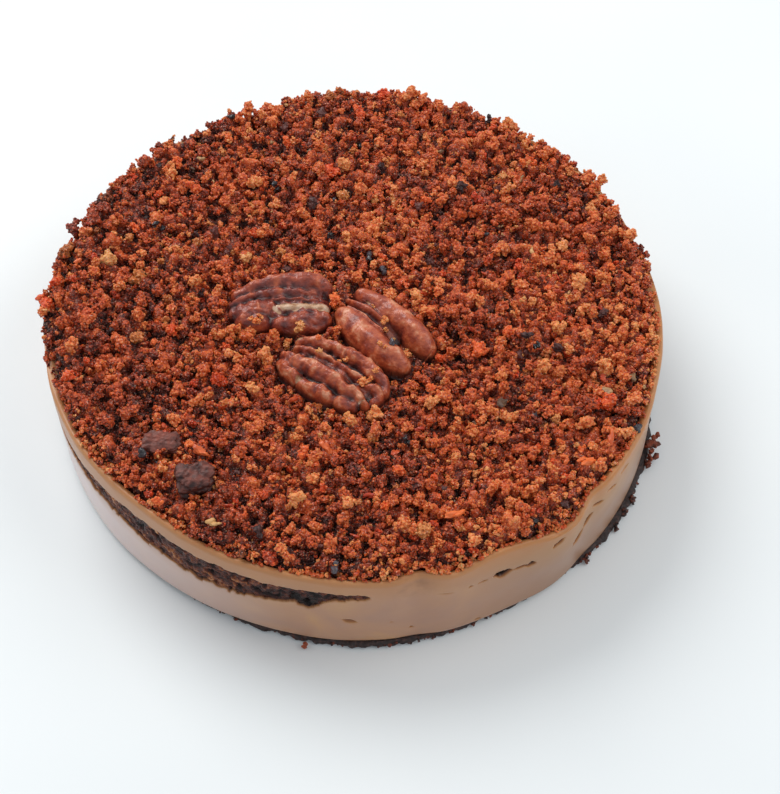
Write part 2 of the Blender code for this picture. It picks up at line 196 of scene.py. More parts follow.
# How much of the lip stands, by azimuth.
LIP_SHARE = (
    (-180, 0.0),
    (-169, 0.0),
    (-157, 0.7),
    (-146, 1.0),
    (-10, 1.0),
    (3, 0.6),
    (14, 0.0),
    (180, 0.0),
)
LEAST_LIP = 0.05
# The sponge's edge: azimuth, how far it pushes past the wall in mm, and its bulge's height in mm.
EXPOSURE = (
    (-225, -0.1, 25.2),
    (-223, 0.004, 25.2),
    (-214, 0.06, 24.9),
    (-204, 0.3, 24.5),
    (-152, 0.25, 22.4),
    (-140, 1.1, 23.6),
    (-128, 2.2, 23.8),
    (-112, 2.9, 23.2),
    (-102, 1.2, 24.4),
    (-97, 0.75, 25.6),
    (-90.8, 0.13, 27.2),
    (-88.2, 0.09, 27.6),
    (-86.2, 0.04, 27.8),
    (-85.2, 0.0, 27.8),
    (-83.5, -0.1, 27.8),
)
# It hangs below the band: azimuth and half width in degrees, reach in mm.
BAND_TOOTH = (-96.2, 1.5, 2.8)
SPONGE_BOTTOM, SPONGE_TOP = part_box("sponge_layer")[0].z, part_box("sponge_layer")[1].z
EDGE_DROP = 3.4  # mm of push at which the band would be as high as the sponge is thick
# Splits: azimuth, height, length, opening and depth in mm, tilt in degrees.
SPLITS = (
    (-61.2, 23.9, 6.8, 3.9, 4.2, -8),
    (-57.6, 23.2, 6.4, 1.4, 2.4, -10),
    (-55.6, 22.5, 3.6, 2.5, 3.0, -4),
    (-65.2, 24.3, 4.4, 0.9, 1.2, -10),
    (-67.6, 24.5, 1.8, 1.0, 1.2, -4),
    (-50.4, 27.8, 5.4, 2.3, 2.8, 40),
    (-44.8, 21.0, 6.6, 3.4, 3.8, 36),
    (-42.2, 23.6, 6.4, 3.4, 3.6, 28),
    (-39.4, 27.3, 5.6, 1.6, 2.4, -22),
    (-35.6, 28.9, 5.8, 1.3, 2.0, -22),
    (-31.4, 30.3, 6.4, 1.3, 1.8, -14),
    (-72.2, 25.2, 7.0, 0.7, 0.5, -10),
    (-88.8, 14.6, 5.6, 2.6, 0.65, -12),
    (-81.5, 13.3, 1.6, 0.8, 0.4, 0),
    (-77.9, 8.4, 1.7, 1.1, 0.9, 10),
    (-65.7, 4.2, 3.0, 1.4, 1.2, 25),
    (-4.0, 24.6, 6.4, 2.2, 2.2, -14),
    (9.5, 21.4, 3.4, 1.3, 1.2, -6),
    (31.0, 11.8, 2.6, 1.3, 0.9, 10),
    (55.0, 25.2, 9.0, 3.0, 2.8, 9),
    (60.5, 24.4, 3.6, 1.8, 1.6, 4),
    (84.0, 9.4, 2.6, 1.4, 0.9, -10),
    (102.0, 21.2, 7.4, 2.6, 2.4, 15),
    (107.5, 22.8, 3.4, 1.7, 1.4, 10),
    (127.0, 15.6, 2.2, 1.2, 0.8, 0),
    (152.0, 8.2, 2.4, 1.2, 0.8, 12),
    (-160.0, 8.8, 2.0, 1.0, 0.6, -8),
)
# Start and end of each span by azimuth, and mm between its columns of points.
FINE_SPANS = ((-226, -84, 0.50), (-84, -24, 0.36), (-24, 134, 0.75))


def swell(azimuth, centre, half_width):
    """A smooth bump of height 1 round the cake, at the centre azimuth, in degrees."""
    away = (azimuth - centre + 180) % 360 - 180
    return np.exp(-((away / half_width) ** 2))


def bumps(azimuth, table):
    """The sum of a table's bumps round the cake: azimuth, half width and height of each."""
    return sum(height * swell(azimuth, centre, half_width) for centre, half_width, height in table)


def between(azimuth, table, column=1):
    """The value of a table's column at azimuths, smooth between its rows."""
    rows = np.array(table, float)
    low, high = rows[0, 0], rows[-1, 0]
    azimuth = np.where(azimuth > high, azimuth - 360, azimuth)
    azimuth = np.where(azimuth < low, low, azimuth)
    row = np.clip(np.searchsorted(rows[:, 0], azimuth) - 1, 0, len(rows) - 2)
    share = (azimuth - rows[row, 0]) / (rows[row + 1, 0] - rows[row, 0])
    share = share * share * (3 - 2 * share)
    return rows[row, column] + share * (rows[row + 1, column] - rows[row, column])


def around(azimuth, radius, height):
    """Points by azimuth in degrees, radius and height, as an array with x, y, z in its last axis."""
    turn, radius, height = np.broadcast_arrays(np.radians(azimuth), radius, height)
    return np.stack((radius * np.cos(turn), radius * np.sin(turn), height), axis=-1)


def rough(points, size, seed):
    """Noise from -1 to 1 at each point, with features of a size."""
    flat = (points / size + (0, 0, 17.3 * seed)).reshape(-1, 3)
    return np.array([noise.noise(p) for p in flat.tolist()]).reshape(points.shape[:-1])


def wall_radius(azimuth, height):
    """The cream wall's radius: the folds are deepest at the rim, and fade towards the foot."""
    depth = 0.25 + 0.75 * np.clip(height / (CREAM_BED + LIP_HEIGHT), 0, 1) ** 1.4
    waves = rough(around(azimuth, CREAM_RADIUS, height), 17 * MM, 1)
    belly = BELLY[2] * swell(azimuth, *BELLY[:2])
    return CREAM_RADIUS + (bumps(azimuth, LINER_FOLDS) * depth + belly + waves * 0.25) * MM


def rim_height(azimuth):
    """The top of the cream's lip, which waves a little and sinks to the bed under the crumbs."""
    wave = rough(around(azimuth, CREAM_RADIUS, 0.0), 14 * MM, 2) * 0.9
    wave = (wave + bumps(azimuth, RIM_DIPS)) * MM
    return CREAM_BED + (LIP_HEIGHT + wave) * between(azimuth, LIP_SHARE)


def inside_band(azimuth, height):
    """How far a point of the wall lies inside the sponge band's ragged edge, in mm."""
    push = between(azimuth, EXPOSURE, 1)
    middle = between(azimuth, EXPOSURE, 2)
    half = (SPONGE_TOP - SPONGE_BOTTOM) / 2 / MM * (np.clip(push, 0, 9) / EDGE_DROP) ** (1 / 2.4)
    spot = around(azimuth, CREAM_RADIUS, height)
    ragged = rough(spot, 4.2 * MM, 21) * 1.3 + rough(spot, 1.4 * MM, 22) * 0.7
    above = height / MM > middle
    bubbles = np.abs(rough(spot, 2.4 * MM, 23)) * 2.6 - 0.5
    edge = half - np.abs(height / MM - middle) + ragged * np.where(above, 0.6, 1.0) - bubbles * ~above
    edge = edge + BAND_TOOTH[2] * swell(azimuth, *BAND_TOOTH[:2]) * ~above
    narrow = np.clip(half / 1.2, 0, 1)
    return np.where(push > 0, edge * narrow - 0.6 * (1 - narrow), -5.0)


def split_depth(azimuth, height):
    """How deep the wall is split or pitted at a point, in mm."""
    deep = np.zeros(np.broadcast(azimuth, height).shape)
    for centre, level, length, opening, depth, tilt in SPLITS:
        along = np.radians(azimuth - centre) * CREAM_RADIUS / MM
        up = height / MM - level
        turn = math.radians(tilt)
        run = along * math.cos(turn) + up * math.sin(turn)
        rise = up * math.cos(turn) - along * math.sin(turn)
        near = (np.abs(run) < length) & (np.abs(rise) < 3)
        spot = around(azimuth, CREAM_RADIUS, height)[near]
        jag = rough(spot, 1.7 * MM, 31) * 0.20 * opening
        width = opening / 2 * np.clip(1 - (2 * run[near] / length) ** 2, 0, 1)
        inward = np.clip((width - np.abs(rise[near] + jag)) / (0.30 * opening + 0.12), 0, 1)
        deep[near] = np.maximum(deep[near], depth * inward**1.5)
    return deep


def columns(spans):
    """Azimuths all round, in degrees, each span with its own spacing along the wall in mm."""
    steps = []
    for start, end, spacing in spans:
        count = int(math.radians(end - start) * CREAM_RADIUS / MM / spacing)
        steps.append(start + (end - start) * np.arange(count) / count)
    return np.concatenate(steps)


def note(mesh, label, values):
    """Notes a number at each of a mesh's points, for its material to read."""
    numbers = np.asarray(values).astype(np.float32)
    mesh.attributes.new(label, "FLOAT", "POINT").data.foreach_set("value", numbers)


def turned_mesh(name, top, rings, bottom, attributes=()):
    """A closed mesh of rings of points (rows, columns, xyz) from the top centre to the bottom one."""
    rows, across = rings.shape[:2]
    points = np.concatenate(([top], rings.reshape(-1, 3), [bottom]))
    here = np.arange(across)
    after = (here + 1) % across
    faces = [np.stack((np.zeros(across, int), 1 + here, 1 + after), 1)]
    quads = []
    for row in range(rows - 1):
        upper, lower = 1 + row * across, 1 + (row + 1) * across
        quads.append(np.stack((upper + here, lower + here, lower + after, upper + after), 1))
    last = 1 + (rows - 1) * across
    faces.append(np.stack((last + here, np.full(across, len(points) - 1), last + after), 1))
    made = bpy.data.meshes.new(name)
    made.from_pydata(points, [], np.concatenate(faces).tolist() + np.concatenate(quads).tolist())
    for label, values in dict(attributes).items():
        note(made, label, np.concatenate(([0], values.ravel(), [0])))
    made.shade_smooth()
    return made


def show(name, mesh, finish, replaced=None):
    """Puts a finished piece in the scene, riding on the cake."""
    piece = bpy.data.objects.new(name, mesh)
    bpy.context.scene.collection.objects.link(piece)
    if finish:
        mesh.materials.clear()
        mesh.materials.append(finish)
    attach(piece, "root")
    if replaced:
        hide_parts(replaced)
    return piece


# From the bed over the rounded lip: inset from the wall and depth below the rim, in mm.
LIP_CURVE = (
    (3.0, 2.5),
    (2.6, 1.7),
    (2.3, 0.9),
    (1.95, 0.35),
    (1.5, 0.08),
    (1.1, 0.0),
    (0.72, 0.09),
    (0.42, 0.30),
    (0.18, 0.65),
    (0.04, 1.15),
)
# From the wall under the rounded foot: inset from the wall and height above the foot, in mm.
FOOT_CURVE = ((0.0, 1.4), (0.12, 0.7), (0.45, 0.2), (1.0, 0.0), (1.6, 0.1))
WALL_ROWS = 76
UNDER_BED = 0.2 * MM  # how far the cream's middle lies below the bed
SPONGE_PRESS = 2.4  # mm that the wall lies back over the sponge band

azimuth = columns(FINE_SPANS)
rim = rim_height(azimuth)
share = np.clip(between(azimuth, LIP_SHARE), LEAST_LIP, 1)
rows = []
for inset, below in LIP_CURVE:
    height = np.maximum(rim - below * MM * share, CREAM_BED - UNDER_BED)
    rows.append((wall_radius(azimuth, height) - inset * MM, height, np.zeros(len(azimuth))))
wall_top = rim - 1.5 * MM * share
foot = CREAM_FOOT - bumps(azimuth, FOOT_DROPS) * MM
for number in range(WALL_ROWS):
    height = wall_top + (foot + 2.0 * MM - wall_top) * number / (WALL_ROWS - 1)
    opened = np.clip(inside_band(azimuth, height) / 0.55 + 0.6, 0, 1)
    opened = opened * opened * (3 - 2 * opened) * SPONGE_PRESS
    sunk = np.maximum(opened, split_depth(azimuth, height))
    swirl = rough(around(azimuth, CREAM_RADIUS, height), 6 * MM, 4) * 0.09 * MM
    rows.append((wall_radius(azimuth, height) + swirl - sunk * MM, height, sunk))
for inset, above in FOOT_CURVE:
    height = foot + above * MM
    rows.append((wall_radius(azimuth, height) - inset * MM, height, np.zeros(len(azimuth))))
rings = np.stack([around(azimuth, radius, height) for radius, height, _ in rows])
cream_mesh = turned_mesh(
    "set_cream",
    (0, 0, CREAM_BED - UNDER_BED),
    rings,
    (0, 0, CREAM_FOOT),
    {"sunk": np.stack([sunk for *_, sunk in rows])},
)

# Gelatine-set coffee cream: smooth and satin from the liner, and a little see-through. It is
# yellower at the lip where it has dried. Painted on it are a paler reflection low on the left, shade
# and a greyer reflection on the right, a shade in a patch under the lip where a liner fold dents the
# wall, and brown inside its splits that darkens with depth as painted shade.
# A painted shade under the lip, where a fold of the liner dents the wall: its azimuth, its depth below the
# bed and its reach.
FOLD_SHADE_AZIMUTH, FOLD_SHADE_BELOW, FOLD_SHADE_REACH = -77.6, 2.0 * MM, 8.5 * MM
FACTOR, COLOUR_A, COLOUR_B, MIXED = 0, 6, 7, 2  # sockets of a Mix node that mixes colours
coffee_cream, tree, shader, place = new_finish("satin_set_coffee_cream")
beside, behind, up = add_node(tree, "ShaderNodeSeparateXYZ", {"Vector": place}).outputs
streaks = add_node(
    tree,
    "ShaderNodeTexNoise",
    {"Vector": place, "Scale": per_mm(22), "Detail": 3.0, "Distortion": 1.2},
)
low_down = add_node(
    tree,
    "ShaderNodeValToRGB",
    {"Fac": streaks.outputs["Fac"]},
    stops=((0.30, "#ae846d"), (0.55, "#b88a6b"), (0.75, "#c29268")),
)
zones = {}
# Where each tone lies: along which axis, from and to in mm, and its share at each end.
for zone, along, start, end, low, high, ease in (
    ("lip", up, 24, 36, 0, 1, "SMOOTHSTEP"),
    ("left", beside, -15, -75, 0, 0.95, "LINEAR"),
    ("front", behind, -30, 30, 1, 0.25, "LINEAR"),
    ("low", up, 26, 14, 0, 1, "LINEAR"),
    ("right", beside, 15, 65, 0, 0.9, "SMOOTHSTEP"),
    ("height", up, 0, 36, 0, 1, "LINEAR"),
):
    ends = {"From Min": start * MM, "From Max": end * MM, "To Min": low, "To Max": high}
    made = add_node(tree, "ShaderNodeMapRange", {"Value": along, **ends}, interpolation_type=ease)
    zones[zone] = made.outputs["Result"]
# Painted reflection: the wall is painted paler low on the left and towards the front, where it faces the
# bright window.
faded = add_node(tree, "ShaderNodeMath", {0: zones["left"], 1: zones["front"]}, operation="MULTIPLY")
painted_left_reflection = add_node(tree, "ShaderNodeMath", {0: faded.outputs["Value"], 1: zones["low"]}, operation="MULTIPLY")
# Painted shade and reflection on the right side of the wall: darker and greyer low down, more ochre towards
# the lip.
right_shade_and_reflection = add_node(
    tree,
    "ShaderNodeValToRGB",
    {"Fac": zones["height"]},
    stops=((0.1, "#9a7257"), (0.4, "#a3816d"), (0.72, "#ae8158"), (0.95, "#b97c48")),
)
fold_shade_place = around(FOLD_SHADE_AZIMUTH, CREAM_RADIUS, CREAM_BED - FOLD_SHADE_BELOW).tolist()
fold_shade_distance = add_node(tree, "ShaderNodeVectorMath", {0: place, 1: fold_shade_place}, operation="DISTANCE")
fold_shade = add_node(
    tree,
    "ShaderNodeMapRange",
    {"Value": fold_shade_distance.outputs["Value"], "From Max": FOLD_SHADE_REACH, "To Min": 0.6, "To Max": 0.0},
    interpolation_type="SMOOTHSTEP",
)
blotches = add_node(tree, "ShaderNodeTexNoise", {"Vector": place, "Scale": per_mm(5), "Detail": 3.0})
blotched = add_node(
    tree,
    "ShaderNodeMapRange",
    {"Value": blotches.outputs["Fac"], "From Min": 0.38, "From Max": 0.62, "To Min": 0.1, "To Max": 1.0},
)
# The painted fold shade, broken into blotches.
uneven = add_node(
    tree,
    "ShaderNodeMath",
    {0: fold_shade.outputs["Result"], 1: blotched.outputs["Result"]},
    operation="MULTIPLY",
)
sunk = add_node(tree, "ShaderNodeAttribute", attribute_name="sunk")
in_split = add_node(
    tree, "ShaderNodeMapRange", {"Value": sunk.outputs["Fac"], "From Min": 0.04, "From Max": 0.28}
)
# Inside the splits: brown, painted darker down to near black with depth as shade.
how_deep = add_node(tree, "ShaderNodeMapRange", {"Value": sunk.outputs["Fac"], "From Max": 2.4})
split_depth_shade = add_node(
    tree,
    "ShaderNodeValToRGB",
    {"Fac": how_deep.outputs["Result"]},
    stops=((0.05, "#b47c42"), (0.24, "#8a5228"), (0.42, "#3a1a0a"), (0.65, "#120603")),
)
cream_colour = low_down.outputs["Color"]
# The colours that lie over each other on the wall, and how much of each shows.
for amount, colour in (
    (zones["lip"], linear("#b88052")),
    (painted_left_reflection.outputs["Value"], linear("#e2d1ce")),
    (zones["right"], right_shade_and_reflection.outputs["Color"]),
    (uneven.outputs["Value"], linear("#83563a")),
    (in_split.outputs["Result"], split_depth_shade.outputs["Color"]),
):
    layers = {FACTOR: amount, COLOUR_A: cream_colour, COLOUR_B: colour}
    cream_colour = add_node(tree, "ShaderNodeMix", layers, data_type="RGBA").outputs[MIXED]
pores = add_node(tree, "ShaderNodeTexNoise", {"Vector": place, "Scale": per_mm(1.6), "Detail": 4.0})
relief = add_node(
    tree,
    "ShaderNodeBump",
    {"Height": pores.outputs["Fac"], "Strength": 0.12, "Distance": 0.25 * MM},
)
plug(tree, shader, {"Base Color": cream_colour, "Normal": relief.outputs["Normal"]})
plug(tree, shader, {"Roughness": 0.36, "IOR": 1.44, "Subsurface Weight": 0.22})
plug(tree, shader, {"Subsurface Radius": (1.0, 0.55, 0.35), "Subsurface Scale": 2.5 * MM})
cream = show("set_cream", cream_mesh, coffee_cream, "coffee_cream")

# ---------------------------------------------------------------------------------------------
# Sponge layer: a disc of coffee-soaked sponge inside the cream. Where it touched the liner its cut,
# open-pored edge shows as a dark band, a little behind the cream's wall.
SPONGE_RECESS = 0.55 * MM
SPONGE_SPANS = ((-226, -82, 0.42), (-82, 134, 5.0))
SPONGE_HIDDEN_INSET = 1.6 * MM
SPONGE_ROWS = 40

azimuth = columns(SPONGE_SPANS)
radii, heights, pitted = [], [], []
for number in range(SPONGE_ROWS):
    height = np.full(len(azimuth), SPONGE_TOP + (SPONGE_BOTTOM - SPONGE_TOP) * number / (SPONGE_ROWS - 1))
    spot = around(azimuth, CREAM_RADIUS, height)
    open_edge = np.clip(inside_band(azimuth, height) + 1.0, 0, 1)
    crumbly = rough(spot, 1.7 * MM, 41) * 0.45 + rough(spot, 0.7 * MM, 42) * 0.4
    bubbles = np.clip(rough(spot, 2.3 * MM, 43) - 0.15, 0, 1) * 3.4
    surface = SPONGE_RECESS + (bubbles - crumbly) * MM * open_edge + (1 - open_edge) * SPONGE_HIDDEN_INSET
    radii.append(wall_radius(azimuth, height) - np.maximum(surface, 0.05 * MM))
    heights.append(height)
    pitted.append(bubbles - crumbly)
sponge_mesh = turned_mesh(
    "sponge_disc",
    (0, 0, SPONGE_TOP),
    np.stack([around(azimuth, radius, height) for radius, height in zip(radii, heights)]),
    (0, 0, SPONGE_BOTTOM),
    {"pitted": np.stack(pitted)},
)

# Coffee-soaked sponge: brown, moist and open, with pale crumb walls round its bubbles, painted
# darker down in the bubbles as shade, and small wet glints.
soaked_sponge, tree, shader, place = new_finish("coffee_soaked_sponge")
cells = add_node(tree, "ShaderNodeTexVoronoi", {"Vector": place, "Scale": per_mm(0.7)})
fibre = add_node(tree, "ShaderNodeTexNoise", {"Vector": place, "Scale": per_mm(0.8), "Detail": 5.0})
# Painted shade: the sponge is darker where its surface lies deeper in its bubbles.
depth = add_node(tree, "ShaderNodeAttribute", attribute_name="pitted")
toned = add_node(
    tree,
    "ShaderNodeMath",
    {0: depth.outputs["Fac"], 1: -0.45, 2: fibre.outputs["Fac"]},
    operation="MULTIPLY_ADD",
)
soaked = add_node(tree, "ShaderNodeTexNoise", {"Vector": place, "Scale": per_mm(7), "Detail": 2.0})
lighter = add_node(
    tree,
    "ShaderNodeMapRange",
    {"Value": soaked.outputs["Fac"], "From Min": 0.35, "From Max": 0.65, "To Min": -0.18, "To Max": 0.26},
)
beside = add_node(tree, "ShaderNodeSeparateXYZ", {"Vector": place}).outputs["X"]
# The band is darker towards the right, where it narrows to its end at the front.
darker_to_right = add_node(
    tree,
    "ShaderNodeMapRange",
    {"Value": beside, "From Min": -34 * MM, "From Max": -6 * MM, "To Min": 0.0, "To Max": -0.26},
)
shift = add_node(
    tree, "ShaderNodeMath", {0: lighter.outputs["Result"], 1: darker_to_right.outputs["Result"]}, operation="ADD"
)
crumb_tone = add_node(
    tree, "ShaderNodeMath", {0: toned.outputs["Value"], 1: shift.outputs["Value"]}, operation="ADD"
)
crumb_brown = add_node(
    tree,
    "ShaderNodeValToRGB",
    {"Fac": crumb_tone.outputs["Value"]},
    stops=((0.10, "#140504"), (0.38, "#3a120b"), (0.60, "#682d17"), (0.80, "#a4602c"), (1.0, "#d6a47a")),
)
relief = add_node(
    tree,
    "ShaderNodeBump",
    {"Height": cells.outputs["Distance"], "Strength": 0.6, "Distance": 0.4 * MM},
)
fine_relief = add_node(
    tree,
    "ShaderNodeBump",
    {
        "Height": fibre.outputs["Fac"],
        "Strength": 0.7,
        "Distance": 0.4 * MM,
        "Normal": relief.outputs["Normal"],
    },
)
plug(tree, shader, {"Base Color": crumb_brown.outputs["Color"], "Normal": fine_relief.outputs["Normal"]})
plug(tree, shader, {"Roughness": 0.36, "Specular IOR Level": 0.28})
show("sponge_disc", sponge_mesh, soaked_sponge, "sponge_layer")

# ---------------------------------------------------------------------------------------------
# Biscuit base: crushed dark biscuit pressed into a thin disc. It is cut ragged, a little wider than
# the cream, and sheds crumbs round its foot.
BASE_RADIUS = 89.6 * MM
BASE_TOP = 2.3 * MM
# Azimuth and half width of each bulge in degrees, and its push in mm.
BASE_BULGES = (
    (-30, 15, 1.8),
    (-15, 4, 0.9),
    (-84, 14, 1.2),
    (150, 50, 0.6),
    (-52, 8, -0.9),
    (-140, 26, -2.4),
)
BASE_SPANS = ((-180, 180, 0.45),)
# Inset from the edge and height, in mm, from the top down.
BASE_CURVE = (
    (4.0, 2.3),
    (1.6, 2.3),
    (0.7, 2.2),
    (0.2, 1.9),
    (0.0, 1.5),
    (-0.1, 1.1),
    (0.0, 0.7),
    (0.25, 0.35),
    (0.7, 0.1),
    (1.2, 0.0),
    (3.0, 0.0),
)

azimuth = columns(BASE_SPANS)
bulge = bumps(azimuth, BASE_BULGES)
radii, heights, shed = [], [], []
for inset, height_mm in BASE_CURVE:
    height = np.full(len(azimuth), height_mm * MM)
    spot = around(azimuth, BASE_RADIUS, height)
    coarse = rough(around(azimuth, CREAM_RADIUS, height), 4.5 * MM, 5) * 0.9
    crumbly = rough(spot, 2.0 * MM, 52) * 0.6 + rough(spot, 0.9 * MM, 53) * 0.3
    edge = 1.0 if inset < 2 else 0.0
    radii.append(BASE_RADIUS + (coarse + bulge + crumbly * edge - inset) * MM)
    lift = rough(spot, 1.5 * MM, 54) * 0.35 * MM * (0.3 < height_mm < 2.2)
    heights.append(height + lift)
    shed.append(crumbly)
base_mesh = turned_mesh(
    "biscuit_disc",
    (0, 0, BASE_TOP),
    np.stack([around(azimuth, radius, height) for radius, height in zip(radii, heights)]),
    (0, 0, 0),
    {"shed": np.stack(shed)},
)

# Crushed cocoa biscuit bound with butter: nearly black brown, matt, grainy, with a few fat glints.
cocoa_biscuit, tree, shader, place = new_finish("pressed_cocoa_biscuit")
grains = add_node(tree, "ShaderNodeTexNoise", {"Vector": place, "Scale": per_mm(1.1), "Detail": 6.0})
biscuit_brown = add_node(
    tree,
    "ShaderNodeValToRGB",
    {"Fac": grains.outputs["Fac"]},
    stops=((0.30, "#150a0a"), (0.52, "#2e1c19"), (0.68, "#4a302a"), (0.85, "#75503f")),
)
relief = add_node(
    tree,
    "ShaderNodeBump",
    {"Height": grains.outputs["Fac"], "Strength": 0.9, "Distance": 0.6 * MM},
)
plug(tree, shader, {"Base Color": biscuit_brown.outputs["Color"], "Normal": relief.outputs["Normal"]})
plug(tree, shader, {"Roughness": 0.6})
show("biscuit_disc", base_mesh, cocoa_biscuit, "biscuit_base")

# ---------------------------------------------------------------------------------------------
# Pecan halves: dried kernels, flat side down on the crumbs. Each back is a few long rounded lobes
# with deep creases between them, wrinkled across where the kernel shrank in its shell.
# Each lobe is a row of places on the nut, along and across it, with its half width and its height
# there, all in mm. Bare flesh is given in the same way, without heights.
PECANS = (
    {
        "at": (-22.2, -2.6),
        "turn": 8,
        "wrinkled": 0.9,
        "tone": 0.40,
        "lobes": (
            ((-9.5, 1.0, 4.0, 3.2), (0, 1.0, 7.5, 4.0), (9.5, 1.0, 5.2, 3.6)),
            (
                (-12.6, 5.2, 1.8, 4.4), (-7, 6.6, 2.6, 6.4), (0, 7.5, 3.3, 7.6),
                (7, 7.2, 3.6, 7.9), (11.6, 6.2, 3.3, 7.0), (13.6, 4.4, 2.5, 5.4),
            ),
            ((-10, 7.0, 2.4, 3.6), (0, 8.8, 2.4, 5.2), (8, 8.7, 2.4, 5.4), (12.5, 7.6, 2.0, 4.0)),
            (
                (-14.2, 2.2, 1.2, 3.2), (-10.4, 3.1, 1.7, 4.9), (-5.3, 3.9, 1.8, 5.8),
                (1, 4.1, 1.9, 6.0), (7, 3.6, 2.0, 5.4), (11.5, 3.2, 1.6, 4.2),
            ),
            ((-2, 1.5, 0.7, 4.9), (4.3, 1.1, 0.8, 5.1), (10.6, 0.6, 0.7, 4.5)),
            ((-1.2, -1.0, 1.9, 4.9), (5, -1.4, 2.1, 5.2), (12.0, -2.0, 2.0, 4.5)),
            (
                (-13.2, -0.6, 2.4, 3.6), (-10.5, -0.9, 3.2, 5.2), (-6.2, -0.8, 3.3, 5.9),
                (-2.8, -1.0, 2.6, 5.4), (-2.2, -2.8, 1.9, 4.4),
            ),
            ((-11.2, -3.6, 2.8, 4.4), (-6.4, -4.4, 3.2, 4.8)),
            ((-1.4, -5.6, 2.2, 4.0), (2.7, -5.4, 3.2, 5.0), (8, -5.3, 3.3, 5.2), (12.0, -4.8, 2.6, 4.2)),
            ((1, -6.8, 2.0, 3.0), (6, -7.0, 2.3, 3.9), (11, -6.4, 2.0, 3.2)),
        ),
        "flesh": (
            ((-0.2, -1.1, 1.1), (5, -1.5, 1.25), (12.4, -2.2, 1.5)),
            ((-1.6, -2.0, 0.8), (-0.8, -2.6, 0.6)),
        ),
    },
    {
        "at": (7.6, -9.2),
        "turn": -43,
        "wrinkled": 0.12,
        "tone": 0.60,
        "lobes": (
            ((-11.5, 0.4, 2.6, 2.6), (-6, 0.6, 5.0, 3.2), (0, 0.6, 4.5, 2.4), (3, 0.4, 2.5, 0.8)),
            (
                (-13.6, 4.6, 2.4, 4.6), (-9.6, 5.0, 3.2, 5.9), (-3, 5.6, 3.9, 6.9),
                (5, 5.6, 4.1, 7.3), (10.4, 5.0, 3.8, 6.8), (13.0, 4.6, 2.9, 5.2),
            ),
            (
                (-14.8, 0.2, 1.0, 3.4), (-11, 0.4, 1.6, 5.0), (-6.5, 1.1, 1.6, 5.5),
                (-3.2, 1.6, 1.2, 4.8), (-0.6, 2.0, 0.7, 3.2),
            ),
            ((-10.6, 2.4, 0.5, 4.9), (-7, 2.6, 0.5, 4.9)),
            ((-12, -2.8, 0.9, 5.0), (-6, -2.0, 1.1, 5.9), (1, -1.9, 1.0, 5.6)),
            (
                (-12.6, -4.0, 2.4, 4.8), (-9.0, -4.9, 3.5, 6.3), (-3.5, -5.3, 4.3, 7.1),
                (3, -5.5, 4.4, 7.1), (8.6, -5.2, 3.9, 6.4), (12.0, -4.6, 2.9, 4.8),
            ),
        ),
        "flesh": (
            ((-12.6, -2.3, 0.22), (-8, -1.5, 0.22), (-4.4, -1.2, 0.2)),
            ((-9.6, 2.6, 0.25), (-8.4, 2.7, 0.25)),
        ),
    },
    {
        "at": (-6.8, -26.6),
        "turn": -33,
        "wrinkled": 1.0,
        "tone": 0.60,
        "lobes": (
            ((-9, 1.0, 4.0, 3.2), (0, 1.2, 6.8, 3.9), (9.5, 1.2, 4.4, 3.2)),
            (
                (-14.2, 5.2, 1.6, 4.0), (-10.5, 6.6, 2.2, 5.6), (-4, 7.9, 2.4, 6.7),
                (3, 8.4, 2.6, 6.9), (9, 8.0, 2.7, 6.5), (13.6, 6.4, 2.2, 5.0),
                (15.4, 4.8, 1.5, 3.8),
            ),
            (
                (-13.6, 2.6, 1.0, 3.6), (-9.5, 3.5, 1.4, 5.0), (-3, 3.9, 1.5, 5.6),
                (3, 3.8, 1.5, 5.6), (8, 4.0, 1.2, 4.9), (10.2, 4.4, 0.8, 4.0),
            ),
            (
                (-15.0, -1.4, 1.7, 4.0), (-12, -1.6, 2.4, 5.6), (-6, -1.3, 2.8, 6.9),
                (0, -1.1, 2.9, 7.2), (6, -1.3, 2.6, 6.7), (11, -1.6, 2.0, 5.4),
                (13.6, -1.8, 1.4, 4.0),
            ),
            ((-14.4, -4.0, 1.6, 3.2), (-11, -5.0, 2.2, 4.4), (-7.8, -5.6, 1.9, 4.5)),
            ((-5.4, -6.2, 1.6, 3.6), (-1.5, -5.8, 2.2, 4.8), (2.4, -5.5, 2.2, 4.6), (4.4, -5.3, 1.5, 3.6)),
            ((6.4, -5.2, 1.5, 3.4), (8.8, -4.6, 2.1, 4.5), (10.8, -4.2, 1.6, 3.6)),
            ((10.8, 2.6, 1.4, 4.6), (13.2, 3.4, 1.9, 5.3), (15.0, 2.6, 1.6, 4.4), (14.8, 0.6, 1.4, 3.8)),
        ),
        "flesh": (
            ((-15.2, 5.2, 0.9), (-13.2, 5.8, 0.4)),
            ((-6.4, -6.6, 1.0), (-5.6, -5.2, 0.5)),
            ((12.2, -2.8, 0.5), (13.2, -1.8, 0.3)),
        ),
    },
)
PECAN_REST = 37.3 * MM
NUT_STATIONS, NUT_POINTS = 200, 150
NUT_EDGE = 0.3  # mm that a nut's flat side stands out under its lobes
NUT_SINK = 1.5  # mm that its flat side lies below the rest, pressed into the crumbs
CREASE_REACH, CREASE_FILL = 8, 0.75  # how widely, in points, and how far its creases are rounded out
HOLLOW_REACH = 8  # points on each side that a nut's hollows are told from its ridges by
UNDER_PARTS = (0.9, 0.65, 0.35, 0.1)  # where across its flat side the points of a row lie


